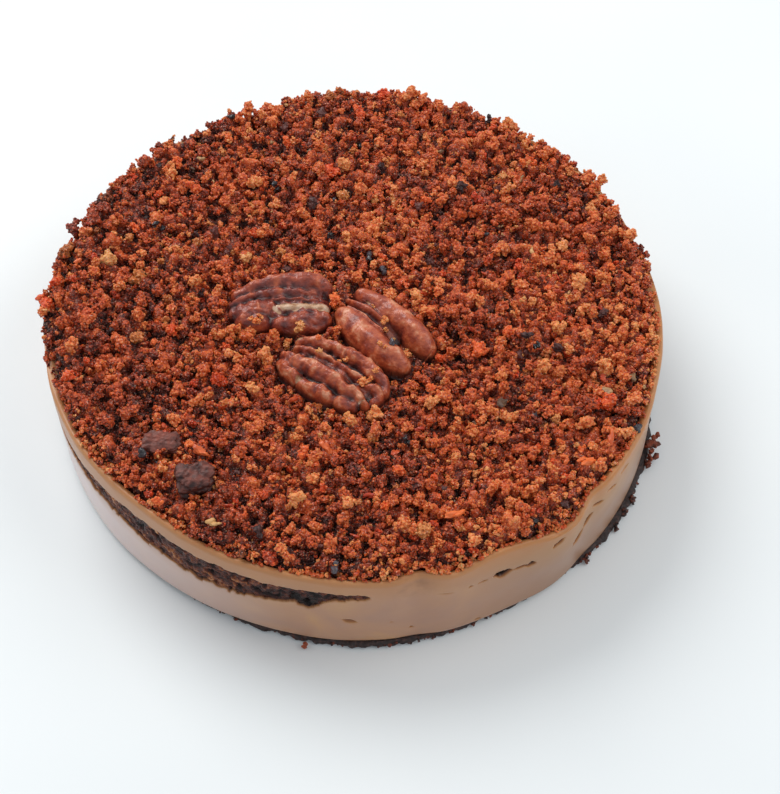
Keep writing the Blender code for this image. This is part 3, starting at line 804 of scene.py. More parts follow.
def drawn(rows, gap=0.4):
    """Points about a gap apart, in mm, along a smooth curve through the rows of a lobe."""
    rows = np.array(rows, float)
    run = np.concatenate(([0], np.cumsum(np.hypot(*np.diff(rows[:, :2], axis=0).T))))
    steps = np.linspace(0, run[-1], int(run[-1] / gap) + 2)
    slopes = np.gradient(rows, run, axis=0)
    row = np.clip(np.searchsorted(run, steps, "right") - 1, 0, len(run) - 2)
    span = (run[row + 1] - run[row])[:, None]
    t = (steps - run[row])[:, None] / span
    start = (2 * t**3 - 3 * t**2 + 1) * rows[row] + (t**3 - 2 * t**2 + t) * span * slopes[row]
    return start + (3 * t**2 - 2 * t**3) * rows[row + 1] + (t**3 - t**2) * span * slopes[row + 1]


def blurred(field, reach):
    """The mean of a grid over a square of cells round each of them."""
    for axis in (0, 1):
        margin = [(0, 0), (0, 0)]
        margin[axis] = (reach + 1, reach)
        total = np.cumsum(np.pad(field, margin, mode="edge"), axis)
        here = np.arange(field.shape[axis])
        field = (np.take(total, here + 2 * reach + 1, axis) - np.take(total, here, axis)) / (2 * reach + 1)
    return field


def lobed_back(lobes, x, y, seed):
    """The height of a nut's back at places, in mm: the highest of its rounded, uneven lobes."""
    height = np.zeros_like(x)
    for number, lobe in enumerate(lobes):
        for place, side, half, top in drawn(lobe):
            uneven = noise.noise(Vector((place / 2.6, 5.1 * number, seed)))
            away = ((x - place) ** 2 + (y - side) ** 2) / (half * (1 + 0.08 * uneven)) ** 2
            height = np.maximum(height, top * np.sqrt(np.clip(1 - away, 0, 1)))
    return height


def wrinkles(nut, flat, seed):
    """The skin's wrinkles, in mm: short ones across the lobes, fine ones along them, and dents."""
    short = 0.35 - 1.5 * np.abs(rough(flat * (1, 0.55, 1), 2.7 * MM, seed + 8))
    long = rough(flat * (0.3, 1, 1), 0.9 * MM, seed + 10) * 0.35
    fine = rough(flat, 0.7 * MM, seed + 9) * 0.18
    return (short + long + fine) * (0.1 + 0.9 * nut["wrinkled"]) + rough(flat, 4.0 * MM, seed + 7) * 0.8


def bare_flesh(nut, x, y, flat, seed):
    """Where a nut's skin is broken off, from 0 to 1."""
    bare = np.zeros_like(x)
    ragged = rough(flat, 1.5 * MM, seed + 5) * 0.75
    for strip in nut["flesh"]:
        for place, side, half in drawn(strip, 0.25):
            away = np.hypot(x - place, y - side)
            bare = np.maximum(bare, np.clip((half - away + ragged * min(1, half)) / 0.18, 0, 1))
    return bare


nut_meshes = []
for number, nut in enumerate(PECANS):
    seed = 60 + 20 * number
    places = np.concatenate([drawn(lobe) for lobe in nut["lobes"]])
    start = (places[:, 0] - places[:, 2]).min() - NUT_EDGE
    end = (places[:, 0] + places[:, 2]).max() + NUT_EDGE
    even = np.linspace(-1, 1, NUT_STATIONS)
    stations = (start + end) / 2 + (end - start) / 2 * (0.6 * even + 0.4 * np.sin(even * np.pi / 2))
    reach = (places[:, 2] + NUT_EDGE) ** 2 - (stations[:, None] - places[:, 0]) ** 2
    half = np.sqrt(np.clip(reach, 0.01, None))
    low = np.where(reach > 0, places[:, 1] - half, 99).min(1)
    high = np.where(reach > 0, places[:, 1] + half, -99).max(1)
    low[[0, -1]], high[[0, -1]] = low[[1, -2]], high[[1, -2]]
    share = np.linspace(0, 1, NUT_POINTS)
    x = np.repeat(stations[:, None], NUT_POINTS, 1)
    y = high[:, None] + (low - high)[:, None] * share
    flat = np.stack((x, y, np.zeros_like(x)), -1) * MM
    bend = rough(flat, 4 * MM, seed) * 0.6 + rough(flat, 1.6 * MM, seed + 1) * 0.22
    smooth = lobed_back(nut["lobes"], x, y + bend, seed)
    smooth = smooth + CREASE_FILL * np.clip(blurred(smooth, CREASE_REACH) - smooth, 0, None) * (smooth > 0)
    bare = bare_flesh(nut, x, y, flat, seed) * (smooth > 2)
    firm = np.clip(smooth / 4, 0, 1)
    height = smooth + (wrinkles(nut, flat, seed) * (1 - bare) - 0.35 * bare) * firm
    height = np.where(smooth > 0, np.maximum(height, 0), -NUT_SINK)
    hollow = (blurred(height, HOLLOW_REACH) - height) / 0.7
    # Painted shade: near black in the creases and along the nut's foot, where it meets the crumbs.
    groove = np.clip(hollow, 0, 1) * (1 - 0.7 * bare)
    groove = np.maximum(groove, np.clip(1.4 - height / 1.6, 0, 1))
    # The tone is painted darker in the hollows and lighter high on the lobes: painted shade and light.
    tone = nut["tone"] - 0.22 * np.clip(hollow, -1, 1) + 0.04 * np.clip(height - 4, -2, 2)
    over = np.stack((x, y, height), -1) * MM
    inner = [int(part * (NUT_POINTS - 1)) for part in UNDER_PARTS]
    under = over[:, inner] * (1, 1, 0) - (0, 0, (NUT_SINK + 0.2) * MM)
    none = np.zeros((NUT_STATIONS, len(inner)))
    mesh = turned_mesh(
        f"pecan_kernel_{number + 1}",
        over[0].mean(0) - (0.1 * MM, 0, 0),
        np.concatenate((over, under), 1)[:, ::-1],
        over[-1].mean(0) + (0.1 * MM, 0, 0),
        {
            label: np.concatenate((values, none), 1)[:, ::-1]
            for label, values in (("groove", groove), ("bare", bare), ("tone", tone))
        },
    )
    turned = Matrix.Rotation(math.radians(nut["turn"]), 4, "Z")
    mesh.transform(Matrix.Translation((nut["at"][0] * MM, nut["at"][1] * MM, PECAN_REST)) @ turned)
    nut_meshes.append(mesh)

# Pecan skin: a thin, taut, red-brown seed coat with a soft oily gloss, over cream-coloured flesh.
# It is painted nearly black in its creases and along its foot, and paler high on its lobes: painted
# shade and light.
pecan_skin, tree, shader, place = new_finish("oiled_pecan_skin")
mottle = add_node(tree, "ShaderNodeTexNoise", {"Vector": place, "Scale": per_mm(3.2), "Detail": 6.0})
tone = add_node(tree, "ShaderNodeAttribute", attribute_name="tone")
centred = add_node(
    tree,
    "ShaderNodeMapRange",
    {"Value": mottle.outputs["Fac"], "From Min": 0.3, "From Max": 0.7, "To Min": -0.34, "To Max": 0.34},
)
toned = add_node(
    tree, "ShaderNodeMath", {0: tone.outputs["Fac"], 1: centred.outputs["Result"]}, operation="ADD"
)
skin = add_node(
    tree,
    "ShaderNodeValToRGB",
    {"Fac": toned.outputs["Value"]},
    stops=((0.0, "#431617"), (0.3, "#702e27"), (0.6, "#9c4229"), (0.85, "#bd5f3a"), (1.0, "#cf8866")),
)
groove = add_node(tree, "ShaderNodeAttribute", attribute_name="groove")
flesh = add_node(
    tree,
    "ShaderNodeValToRGB",
    {"Fac": mottle.outputs["Fac"]},
    stops=((0.35, "#96643f"), (0.5, "#c09877"), (0.65, "#d2b79e")),
)
bare = add_node(tree, "ShaderNodeAttribute", attribute_name="bare")
kernel_colour = skin.outputs["Color"]
for amount, colour in ((groove, linear("#2e0f0d")), (bare, flesh.outputs["Color"])):
    layers = {FACTOR: amount.outputs["Fac"], COLOUR_A: kernel_colour, COLOUR_B: colour}
    kernel_colour = add_node(tree, "ShaderNodeMix", layers, data_type="RGBA").outputs[MIXED]
creases = add_node(tree, "ShaderNodeTexNoise", {"Vector": place, "Scale": per_mm(1.0), "Detail": 5.0})
relief = add_node(
    tree,
    "ShaderNodeBump",
    {"Height": creases.outputs["Fac"], "Strength": 0.8, "Distance": 0.5 * MM},
)
plug(tree, shader, {"Base Color": kernel_colour, "Normal": relief.outputs["Normal"]})
plug(tree, shader, {"Roughness": 0.33, "Coat Weight": 0.25, "Coat Roughness": 0.22})
for number, mesh in enumerate(nut_meshes):
    show(mesh.name, mesh, pecan_skin, f"pecan_half_{number + 1}")

# ---------------------------------------------------------------------------------------------
# Crumb bed: the heap's lower crumbs, pressed together on the cream. It is one piece with their
# relief; the loose crumbs of the next sections fall on it and hide most of it.
CELL = 0.4 * MM
HALF_FIELD = 100 * MM
FIELD = int(2 * HALF_FIELD / CELL)
BED_CRUMBS, BED_REACH = 15000, 86 * MM
BED_DEPTH = 1.3 * MM
BED_GRID = 290
BED_SPAN, BED_SHOULDER = 88, 2.0  # the bed's radius, and how wide its edge is rounded, in mm
BED_TAPER = 0.995  # how much smaller its underside is
RIM_REACH = 90 * MM
BED_UNDERSIDE = CREAM_BED - 0.1 * MM
NUT_SEARCH = 12 * MM  # how far round a lobe's places the gap to it is measured
NUT_SEAT, SEAT_DEPTH = 0.5 * MM, 0.2 * MM  # the bed lies this far below the nuts, out to a little past them
BED_INSET = 1.9 * MM  # how far the bed stays behind the heap's edge
LIP_COVER = 0.7 * MM  # how near to the wall the crumbs lie on the lip

chance = random.Random(11)
middles = (np.arange(FIELD) + 0.5) * CELL - HALF_FIELD
field_x, field_y = np.meshgrid(middles, middles)
field_turn = np.degrees(np.arctan2(field_y, field_x))
outline_azimuths = np.arange(-180, 181, 1.0)
rim_radii = wall_radius(outline_azimuths, rim_height(outline_azimuths))
rim_heights = rim_height(outline_azimuths)


def crumb_outline(azimuth):
    """The heap's edge: on the lip where there is one, and out past the wall elsewhere."""
    on_lip = wall_radius(azimuth, CREAM_BED + LIP_HEIGHT) - LIP_COVER
    free = np.clip(1 - between(azimuth, LIP_SHARE) / 0.3, 0, 1)
    spill = (1.5 + 0.9 * swell(azimuth, 180, 22)) * MM
    spill = spill + rough(around(azimuth, CREAM_RADIUS, 0.0), 4 * MM, 8) * 0.6 * MM
    return on_lip + free * spill


outline_radii = crumb_outline(outline_azimuths)
outline_tucks = 0.3 + 0.7 * between(outline_azimuths, LIP_SHARE)

# The heap's level on a grid: the flat bed, and the lip round it; beyond the wall there is nothing.
inset = np.interp(field_turn, outline_azimuths, rim_radii) - np.hypot(field_x, field_y)
lip_share = np.clip(between(field_turn, LIP_SHARE), LEAST_LIP, 1)
lip_fall = np.interp(inset / MM, *np.array(LIP_CURVE[::-1]).T)
on_lip = np.interp(field_turn, outline_azimuths, rim_heights) - lip_fall * lip_share * MM
level = np.where(inset > LIP_CURVE[0][0] * MM, CREAM_BED + BED_DEPTH, np.maximum(on_lip, CREAM_BED))
level = np.where(inset < 0, 0.0, level)


def heap_edge(x, y):
    """How far a place lies inside the heap's edge, in metres."""
    return np.interp(math.degrees(math.atan2(y, x)), outline_azimuths, outline_radii) - math.hypot(x, y)


def tuck(x, y):
    """How much of a crumb's radius stays inside the heap's edge: the lip holds the crumbs back."""
    return np.interp(math.degrees(math.atan2(y, x)), outline_azimuths, outline_tucks)


def cell_of(x, y):
    """The row and column of the cell that holds a place."""
    return int((y + HALF_FIELD) / CELL), int((x + HALF_FIELD) / CELL)


# How near each cell is to a pecan half's lobes, in metres: 0 under them.
nut_gap = np.full_like(level, 99 * MM)
for nut in PECANS:
    turn = math.radians(nut["turn"])
    for place, side, half, _ in np.concatenate([drawn(lobe) for lobe in nut["lobes"]]).tolist():
        x = (nut["at"][0] + place * math.cos(turn) - side * math.sin(turn)) * MM
        y = (nut["at"][1] + place * math.sin(turn) + side * math.cos(turn)) * MM
        (row, column), reach = cell_of(x, y), int(NUT_SEARCH / CELL)
        near = (slice(row - reach, row + reach + 1), slice(column - reach, column + reach + 1))
        away = np.hypot(middles[near[1]][None, :] - x, middles[near[0]][:, None] - y) - half * MM
        nut_gap[near] = np.minimum(nut_gap[near], np.maximum(away, 0))


def near_nut(x, y):
    """How near a place is to a pecan half, in metres: 0 under it."""
    return nut_gap[cell_of(x, y)]


FORM_FILL = 0.85  # a crumb's rough form reaches about this share of its radius


def drop(x, y, radius, sink, thickness=1.0):
    """Lets a crumb fall on the heap, which rises under it. Gives the height of the crumb's middle."""
    (row, column), reach = cell_of(x, y), int(radius / CELL) + 1
    down, across = slice(row - reach, row + reach + 1), slice(column - reach, column + reach + 1)
    away = (middles[across][None, :] - x) ** 2 + (middles[down][:, None] - y) ** 2
    patch = level[down, across]
    under = patch[(away <= max((0.8 * radius) ** 2, away.min())) & (patch > 0)]
    middle = (under.mean() if len(under) else CREAM_BED) + radius * thickness * (1 - sink)
    cap = middle + FORM_FILL * thickness * np.sqrt(np.clip(radius**2 - away, 0, None))
    level[down, across] = np.where((away < radius**2) & (patch > 0), np.maximum(patch, cap), patch)
    return middle


def level_at(x, y):
    """The heap's height at a place."""
    return level[cell_of(x, y)]


def anywhere(radius):
    """A random place within a radius of the cake's middle."""
    turn, reach = chance.uniform(0, 2 * math.pi), radius * math.sqrt(chance.random())
    return reach * math.cos(turn), reach * math.sin(turn)


for _ in range(BED_CRUMBS):
    drop(*anywhere(BED_REACH), chance.uniform(0.5, 1.5) * MM, 0.7)

# A square grid bent into a disc, so that its cells stay even out to the heap's edge.
side = np.linspace(-1, 1, BED_GRID + 1)
flat_x, flat_y = (grid.ravel() for grid in np.meshgrid(side, side))
wide = np.abs(flat_x) > np.abs(flat_y)
reach = np.where(wide, flat_x, flat_y)
ratio = np.where(wide, flat_y, flat_x) / np.where(reach == 0, 1, reach)
turn = np.where(wide, math.pi / 4 * ratio, math.pi / 2 - math.pi / 4 * ratio)
x, y = reach * np.cos(turn), reach * np.sin(turn)
bearing = np.degrees(np.arctan2(y, x))
spread = np.interp(bearing, outline_azimuths, outline_radii) - BED_INSET
x, y = x * spread, y * spread
rim_fall = np.clip((1 - np.abs(reach)) * BED_SPAN / BED_SHOULDER, 0, 1) ** 0.5
column = ((x + HALF_FIELD) / CELL).astype(int)
row = ((y + HALF_FIELD) / CELL).astype(int)
seat = nut_gap[row, column] < NUT_SEAT
surface = np.where(seat, np.minimum(level[row, column], PECAN_REST - SEAT_DEPTH), level[row, column])
z = CREAM_BED + np.maximum(surface - CREAM_BED, 0) * (0.15 + 0.85 * rim_fall)
top_points = np.stack((x, y, z), 1)
across = BED_GRID + 1
index = np.arange(across * across).reshape(across, across)
quads = np.stack((index[:-1, :-1], index[:-1, 1:], index[1:, 1:], index[1:, :-1]), -1).reshape(-1, 4)
edge_loop = np.concatenate((index[0, :-1], index[:-1, -1], index[-1, :0:-1], index[:0:-1, 0]))
bed_points = top_points[edge_loop] * (BED_TAPER, BED_TAPER, 0) + (0, 0, BED_UNDERSIDE)
low = len(top_points) + np.arange(len(edge_loop))
following = np.roll(np.arange(len(edge_loop)), -1)
walls = np.stack((edge_loop, low, low[following], edge_loop[following]), 1)
bed_mesh = bpy.data.meshes.new("crumb_bed")
bed_faces = quads.tolist() + walls.tolist() + [low[::-1].tolist()]
bed_mesh.from_pydata(np.concatenate((top_points, bed_points)), [], bed_faces)
bed_mesh.shade_smooth()


def tone(x, y):
    """How orange the crumbs are at a place, from 0, dark brown, to 1, amber."""
    broad = noise.noise(Vector((x, y, 0.0)) / (24 * MM))
    local = noise.noise(Vector((x, y, 0.03)) / (7 * MM))
    close = noise.noise(Vector((x, y, 0.09)) / (2.8 * MM))
    # The crumbs are painted lighter towards the right, where more light falls: painted light.
    return 0.58 + 0.06 * x / RIM_REACH + 0.16 * broad + 0.18 * local + 0.24 * close


bed_tint = np.array([tone(a, b) for a, b in zip(x.tolist(), y.tolist())])
# Painted shade: the bed is darker than the loose crumbs, and darker still where it lies lower in the heap.
bed_tint = bed_tint - 0.40 + (surface - CREAM_BED - 2.6 * MM) / MM * 0.10
note(bed_mesh, "tint", np.concatenate((bed_tint, np.zeros(len(bed_points)))))
note(bed_mesh, "hue", np.full(len(bed_mesh.vertices), 0.5))

# Carrot cake crumb: moist, open cake from amber to nearly black brown, its granules under a
# millimetre, painted lighter at their tips and darker in their creases as light and shade, with
# painted glints, some crumbs of red carrot and some of tan nut.
cake_crumb, tree, shader, place = new_finish("moist_carrot_cake_crumb")
granules = add_node(tree, "ShaderNodeTexNoise", {"Vector": place, "Scale": per_mm(0.7), "Detail": 4.0})
tint = add_node(tree, "ShaderNodeAttribute", attribute_name="tint")
tip = add_node(tree, "ShaderNodeAttribute", attribute_name="tip")
hue = add_node(tree, "ShaderNodeAttribute", attribute_name="hue")
# Painted light and shade: lighter where a crumb's surface stands out, darker in its creases.
tip_tone = add_node(
    tree, "ShaderNodeMath", {0: tip.outputs["Fac"], 1: 0.22, 2: tint.outputs["Fac"]}, operation="MULTIPLY_ADD"
)
grain_tone = add_node(
    tree,
    "ShaderNodeMapRange",
    {"Value": granules.outputs["Fac"], "From Min": 0.3, "From Max": 0.7, "To Min": -0.24, "To Max": 0.24},
)
whole_tone = add_node(
    tree, "ShaderNodeMath", {0: tip_tone.outputs["Value"], 1: grain_tone.outputs["Result"]}, operation="ADD"
)
baked = add_node(
    tree,
    "ShaderNodeValToRGB",
    {"Fac": whole_tone.outputs["Value"]},
    stops=(
        (0.0, "#340f09"),
        (0.22, "#66200f"),
        (0.42, "#9f3b17"),
        (0.60, "#c55221"),
        (0.80, "#da7034"),
        (1.0, "#e69658"),
    ),
)
carrot = add_node(
    tree,
    "ShaderNodeValToRGB",
    {"Fac": whole_tone.outputs["Value"]},
    stops=((0.0, "#7a1c08"), (0.45, "#d04212"), (1.0, "#f07a3a")),
)
nutty = add_node(
    tree,
    "ShaderNodeValToRGB",
    {"Fac": whole_tone.outputs["Value"]},
    stops=((0.0, "#54210f"), (0.5, "#bf682c"), (1.0, "#e2a062")),
)
is_carrot = add_node(
    tree, "ShaderNodeMapRange", {"Value": hue.outputs["Fac"], "From Min": 0.91, "From Max": 0.96}
)
is_nutty = add_node(
    tree, "ShaderNodeMapRange", {"Value": hue.outputs["Fac"], "From Min": 0.07, "From Max": 0.03}
)
# Painted glints: small pale pink specks that stand in for highlights.
glint_noise = add_node(tree, "ShaderNodeTexNoise", {"Vector": place, "Scale": per_mm(0.5), "Detail": 1.0})
painted_glint = add_node(
    tree,
    "ShaderNodeMapRange",
    {"Value": glint_noise.outputs["Fac"], "From Min": 0.62, "From Max": 0.70, "To Max": 0.6},
)
crumb_colour = baked.outputs["Color"]
for amount, colour in (
    (is_carrot, carrot.outputs["Color"]),
    (is_nutty, nutty.outputs["Color"]),
    (painted_glint, linear("#e8b49c")),
):
    layers = {FACTOR: amount.outputs["Result"], COLOUR_A: crumb_colour, COLOUR_B: colour}
    crumb_colour = add_node(tree, "ShaderNodeMix", layers, data_type="RGBA").outputs[MIXED]
pearls = add_node(tree, "ShaderNodeTexVoronoi", {"Vector": place, "Scale": per_mm(0.75)})
pearled = add_node(
    tree,
    "ShaderNodeBump",
    {"Height": pearls.outputs["Distance"], "Strength": 0.8, "Distance": 0.5 * MM},
    invert=True,
)
relief = add_node(
    tree,
    "ShaderNodeBump",
    {
        "Height": granules.outputs["Fac"],
        "Strength": 0.8,
        "Distance": 0.4 * MM,
        "Normal": pearled.outputs["Normal"],
    },
)
plug(tree, shader, {"Base Color": crumb_colour, "Normal": relief.outputs["Normal"]})
plug(tree, shader, {"Roughness": 0.46, "Specular IOR Level": 0.4, "Subsurface Weight": 0.35})
plug(tree, shader, {"Subsurface Radius": (1.0, 0.32, 0.14), "Subsurface Scale": 1.0 * MM})
bed = show("crumb_bed", bed_mesh, cake_crumb, "crumb_topping")


# ---------------------------------------------------------------------------------------------
# Loose crumbs: carrot cake rubbed through the fingers and strewn on the cream, from clumps of
# crumb 7 mm across to single grains. They only lie on each other.
def as_it_shows(piece):
    """A plain mesh of a piece with its modifiers applied."""
    return bpy.data.meshes.new_from_object(piece.evaluated_get(bpy.context.evaluated_depsgraph_get()))


def solid_form(name, shape, faces, voxel, stretch=(1, 1, 1)):
    """One closed form of about unit radius and few faces, from a pile of overlapping shapes."""
    piled = bpy.data.meshes.new(name)
    shape.to_mesh(piled)
    shape.free()
    form = bpy.data.objects.new(name, piled)
    bpy.context.scene.collection.objects.link(form)
    fused = form.modifiers.new("fused", "REMESH")
    fused.mode = "VOXEL"
    fused.voxel_size = voxel
    form.data = as_it_shows(form)
    form.modifiers.clear()
    thin = form.modifiers.new("fewer_faces", "DECIMATE")
    thin.ratio = faces / (2 * len(form.data.polygons))
    form.data = as_it_shows(form)
    form.modifiers.clear()
    bpy.context.scene.collection.objects.unlink(form)

    points = np.empty(len(form.data.vertices) * 3)
    form.data.vertices.foreach_get("co", points)
    points = points.reshape(-1, 3)
    points = points - (points.max(0) + points.min(0)) / 2
    points = points / np.linalg.norm(points, axis=1).mean() * 0.82 * stretch
    form.data.vertices.foreach_set("co", points.ravel())
    form.data.update()
    normals = np.empty(points.size)
    form.data.vertices.foreach_get("normal", normals)
    edges = np.empty(len(form.data.edges) * 2, int)
    form.data.edges.foreach_get("vertices", edges)
    edges = edges.reshape(-1, 2)
    total, count = np.zeros_like(points), np.zeros(len(points))
    for first, second in ((edges[:, 0], edges[:, 1]), (edges[:, 1], edges[:, 0])):
        np.add.at(total, first, points[second])
        np.add.at(count, first, 1)
    # How far each point stands out from its neighbours, for painted light on tips and painted shade in
    # creases.
    sunk = ((total / count[:, None] - points) * normals.reshape(-1, 3)).sum(1)
    tips = np.clip(-sunk / (np.abs(sunk).mean() * 2), -1, 1)
    note(form.data, "tip", tips)
    form.data.shade_flat()
    return form


def crumb_form(name, seed, faces, lobes, granules, granule_size, stretch=(1, 1, 1)):
    """A crumb: a few lobes of cake, rough all over with granules."""
    draw = random.Random(seed)
    shape = bmesh.new()
    centres = [Vector([draw.uniform(-0.5, 0.5) for _ in range(3)]) for _ in range(lobes)]
    sizes = [draw.uniform(0.26, 0.5) for _ in centres]
    for middle, size in zip(centres, sizes):
        bmesh.ops.create_icosphere(shape, subdivisions=2, radius=size, matrix=Matrix.Translation(middle))
    for _ in range(granules):
        lobe = draw.randrange(lobes)
        way = Vector([draw.gauss(0, 1) for _ in range(3)]).normalized()
        spot = Matrix.Translation(centres[lobe] + way * sizes[lobe] * draw.uniform(0.85, 1.4))
        grown = Matrix.Diagonal((*(draw.uniform(0.7, 1.3) for _ in range(3)), 1))
        bmesh.ops.create_icosphere(
            shape, subdivisions=1, radius=draw.uniform(*granule_size), matrix=spot @ grown
        )
    return solid_form(name, shape, faces, 0.45 * granule_size[0], stretch)


# The node tree that lays forms on points: each point holds its form, turn, radius, tint and hue.
lay_forms = bpy.data.node_groups.new("lay_forms", "GeometryNodeTree")
sockets = {}
for label, kind in (
    ("Geometry", "Geometry"),
    ("Forms", "Collection"),
    ("Finish", "Material"),
    ("Squash", "Float"),
    ("Seed", "Int"),
):
    sockets[label] = lay_forms.interface.new_socket(label, in_out="INPUT", socket_type="NodeSocket" + kind)
lay_forms.interface.new_socket("Geometry", in_out="OUTPUT", socket_type="NodeSocketGeometry")
given = add_node(lay_forms, "NodeGroupInput").outputs
form_index = add_node(lay_forms, "GeometryNodeInputNamedAttribute", {"Name": "form"}, data_type="INT")
turned = add_node(lay_forms, "GeometryNodeInputNamedAttribute", {"Name": "turn"}, data_type="FLOAT_VECTOR")
sized = add_node(lay_forms, "GeometryNodeInputNamedAttribute", {"Name": "radius"}, data_type="FLOAT")
least = add_node(lay_forms, "ShaderNodeMath", {0: 1.0, 1: given["Squash"]}, operation="SUBTRACT")
squashed = add_node(
    lay_forms,
    "FunctionNodeRandomValue",
    {"Min": (1, 1, 1), "Max": least.outputs["Value"], "Seed": given["Seed"]},
    data_type="FLOAT_VECTOR",
)
scaled = add_node(
    lay_forms,
    "ShaderNodeVectorMath",
    {0: squashed.outputs["Value"], "Scale": sized.outputs["Attribute"]},
    operation="SCALE",
)
forms = add_node(
    lay_forms,
    "GeometryNodeCollectionInfo",
    {"Collection": given["Forms"], "Separate Children": True, "Reset Children": True},
)
rotation = add_node(lay_forms, "FunctionNodeEulerToRotation", {"Euler": turned.outputs["Attribute"]})
instances = add_node(
    lay_forms,
    "GeometryNodeInstanceOnPoints",
    {
        "Points": given["Geometry"],
        "Instance": forms.outputs["Instances"],
        "Pick Instance": True,
        "Instance Index": form_index.outputs["Attribute"],
        "Rotation": rotation.outputs["Rotation"],
        "Scale": scaled.outputs["Vector"],
    },
)
solid = add_node(lay_forms, "GeometryNodeRealizeInstances", {"Geometry": instances.outputs["Instances"]})
coated = add_node(
    lay_forms, "GeometryNodeSetMaterial", {"Geometry": solid.outputs["Geometry"], "Material": given["Finish"]}
)
add_node(lay_forms, "NodeGroupOutput", {"Geometry": coated.outputs["Geometry"]})


def lay(name, spots, kinds, finish, replaced, squash=0.25, seed=1):
    """Makes one piece of forms laid on spots: x, y, z, radius, tint, hue and turn, three angles."""
    shelf = bpy.data.collections.new(name + "_forms")
    bpy.context.scene.collection.children.link(shelf)
    for form in kinds:
        shelf.objects.link(form)
    cloud = bpy.data.meshes.new(name)
    cloud.from_pydata([spot[:3] for spot in spots], [], [])
    draw = random.Random(seed)
    for label, kind, values in (
        ("radius", "FLOAT", [spot[3] for spot in spots]),
        ("tint", "FLOAT", [spot[4] for spot in spots]),
        ("hue", "FLOAT", [spot[5] for spot in spots]),
        ("form", "INT", [draw.randrange(len(kinds)) for _ in spots]),
    ):
        cloud.attributes.new(label, kind, "POINT").data.foreach_set("value", values)
    turns = [angle for spot in spots for angle in spot[6]]
    cloud.attributes.new("turn", "FLOAT_VECTOR", "POINT").data.foreach_set("vector", turns)
    holder = bpy.data.objects.new(name + "_points", cloud)
    bpy.context.scene.collection.objects.link(holder)
    strewn = holder.modifiers.new("lay_forms", "NODES")
    strewn.node_group = lay_forms
    for label, value in (("Forms", shelf), ("Finish", finish), ("Squash", squash), ("Seed", seed)):
        strewn[sockets[label].identifier] = value
    made = as_it_shows(holder)
    made.name = name
    bpy.data.objects.remove(holder)
    for form in kinds:
        bpy.data.objects.remove(form)
    bpy.data.collections.remove(shelf)
    return show(name, made, None, replaced)


def any_turn():
    """A random turn that leaves a piece's long side nearly level, as three angles."""
    return chance.uniform(0, 2 * math.pi), chance.uniform(-0.4, 0.4), chance.uniform(0, 2 * math.pi)


# Each kind: how many, smallest and largest radius in mm, how far it sinks in, its tint's shift.
CRUMB_KINDS = {
    "amber_clumps": (540, 1.5, 3.1, 0.35, 0.08),
    "brown_clumps": (540, 1.5, 3.1, 0.40, -0.08),
    "amber_crumbs": (1300, 0.9, 1.7, 0.45, 0.08),
    "brown_crumbs": (1000, 0.9, 1.7, 0.45, -0.08),
    "fine_amber_crumbs": (2500, 0.5, 0.95, 0.40, 0.10),
    "fine_brown_crumbs": (1400, 0.5, 0.95, 0.40, -0.04),
    "crumb_grains": (2000, 0.25, 0.45, 0.25, 0.12),
}
DROP_ORDER = (
    ("amber_crumbs", "brown_crumbs"),
    ("amber_clumps", "brown_clumps"),
    ("fine_amber_crumbs", "fine_brown_crumbs"),
    ("crumb_grains",),
)
STREWN_REACH, SCRAP_REACH = 94 * MM, 87 * MM
TRIES = 6  # places that a crumb tries before it is left out
NEARLY_FULL = 0.8  # a crumb's top may stand over the heap's limit by the rest of its radius
RIM_LIMIT_DROP, SCRAP_LIMIT_DROP = 1.6 * MM, 0.6 * MM  # the same for rim crumbs and scraps
HEAP_LIMIT = CREAM_BED + 6.3 * MM
HILLS, HILL_SIZE = 1.3 * MM, 8 * MM
KNOLLS, KNOLL_SIZE = 1.8 * MM, 2.8 * MM
# How far in from its edge the heap comes to its full height, and how much lower the edge is.
EDGE_RISE, EDGE_LOSS = 2.0 * MM, 1.5 * MM
NUT_MOAT, MOAT_DEPTH = 2.6 * MM, 2.2 * MM  # the crumbs lie lower round the nuts
RIM_CRUMBS, RIM_SPAN = 1100, (-150, 8)  # small crumbs that fill the heap up against the lip
# Hollows in the heap: x and y of the middle, radius and depth in mm.
HOLLOWS = (
    (-27.4, -14.8, 3.0, 3.0),
    (-24.5, -34.5, 4.2, 3.4),
    (13.2, -24.6, 3.4, 3.2),
    (17.0, -17.4, 3.6, 3.6),
    (-12.4, -41.5, 3.0, 2.4),
    (-44.0, 17.0, 5.0, 2.6),
    (-22.0, 38.0, 3.5, 2.4),
    (34.0, -50.0, 4.0, 2.2),
    (-30.0, -58.5, 4.0, 2.4),
    (60.0, 22.0, 4.0, 2.2),
)

strewn_spots = {name: [] for name in CRUMB_KINDS}


def heap_limit(x, y):
    """How high the crumbs may pile at a place: it rolls, and falls at the edge and round the nuts."""
    here = Vector((x, y, 0.0))
    hill = HILLS * noise.noise(here / HILL_SIZE) + KNOLLS * noise.noise(here / KNOLL_SIZE)
    edge = EDGE_LOSS * max(0.0, 1 - heap_edge(x, y) / EDGE_RISE)
    moat = MOAT_DEPTH * max(0.0, 1 - near_nut(x, y) / NUT_MOAT)
    for east, north, wide, deep in HOLLOWS:
        moat += deep * MM * max(0.0, 1 - math.hypot(x - east * MM, y - north * MM) / (wide * MM))
    return HEAP_LIMIT + hill - edge - moat


SCRAP_THICKNESS = {"nut_scraps": 0.5, "currants": 0.6, "carrot_bits": 0.4, "dark_sponge_bits": 0.6}


def fall(name, x, y, radius, sink, tint, hue):
    """Drops one crumb of a kind and notes where it lies."""
    z = drop(x, y, radius, sink, SCRAP_THICKNESS.get(name, 1.0))
    strewn_spots.setdefault(name, []).append([x, y, z, radius, tint, hue, any_turn()])


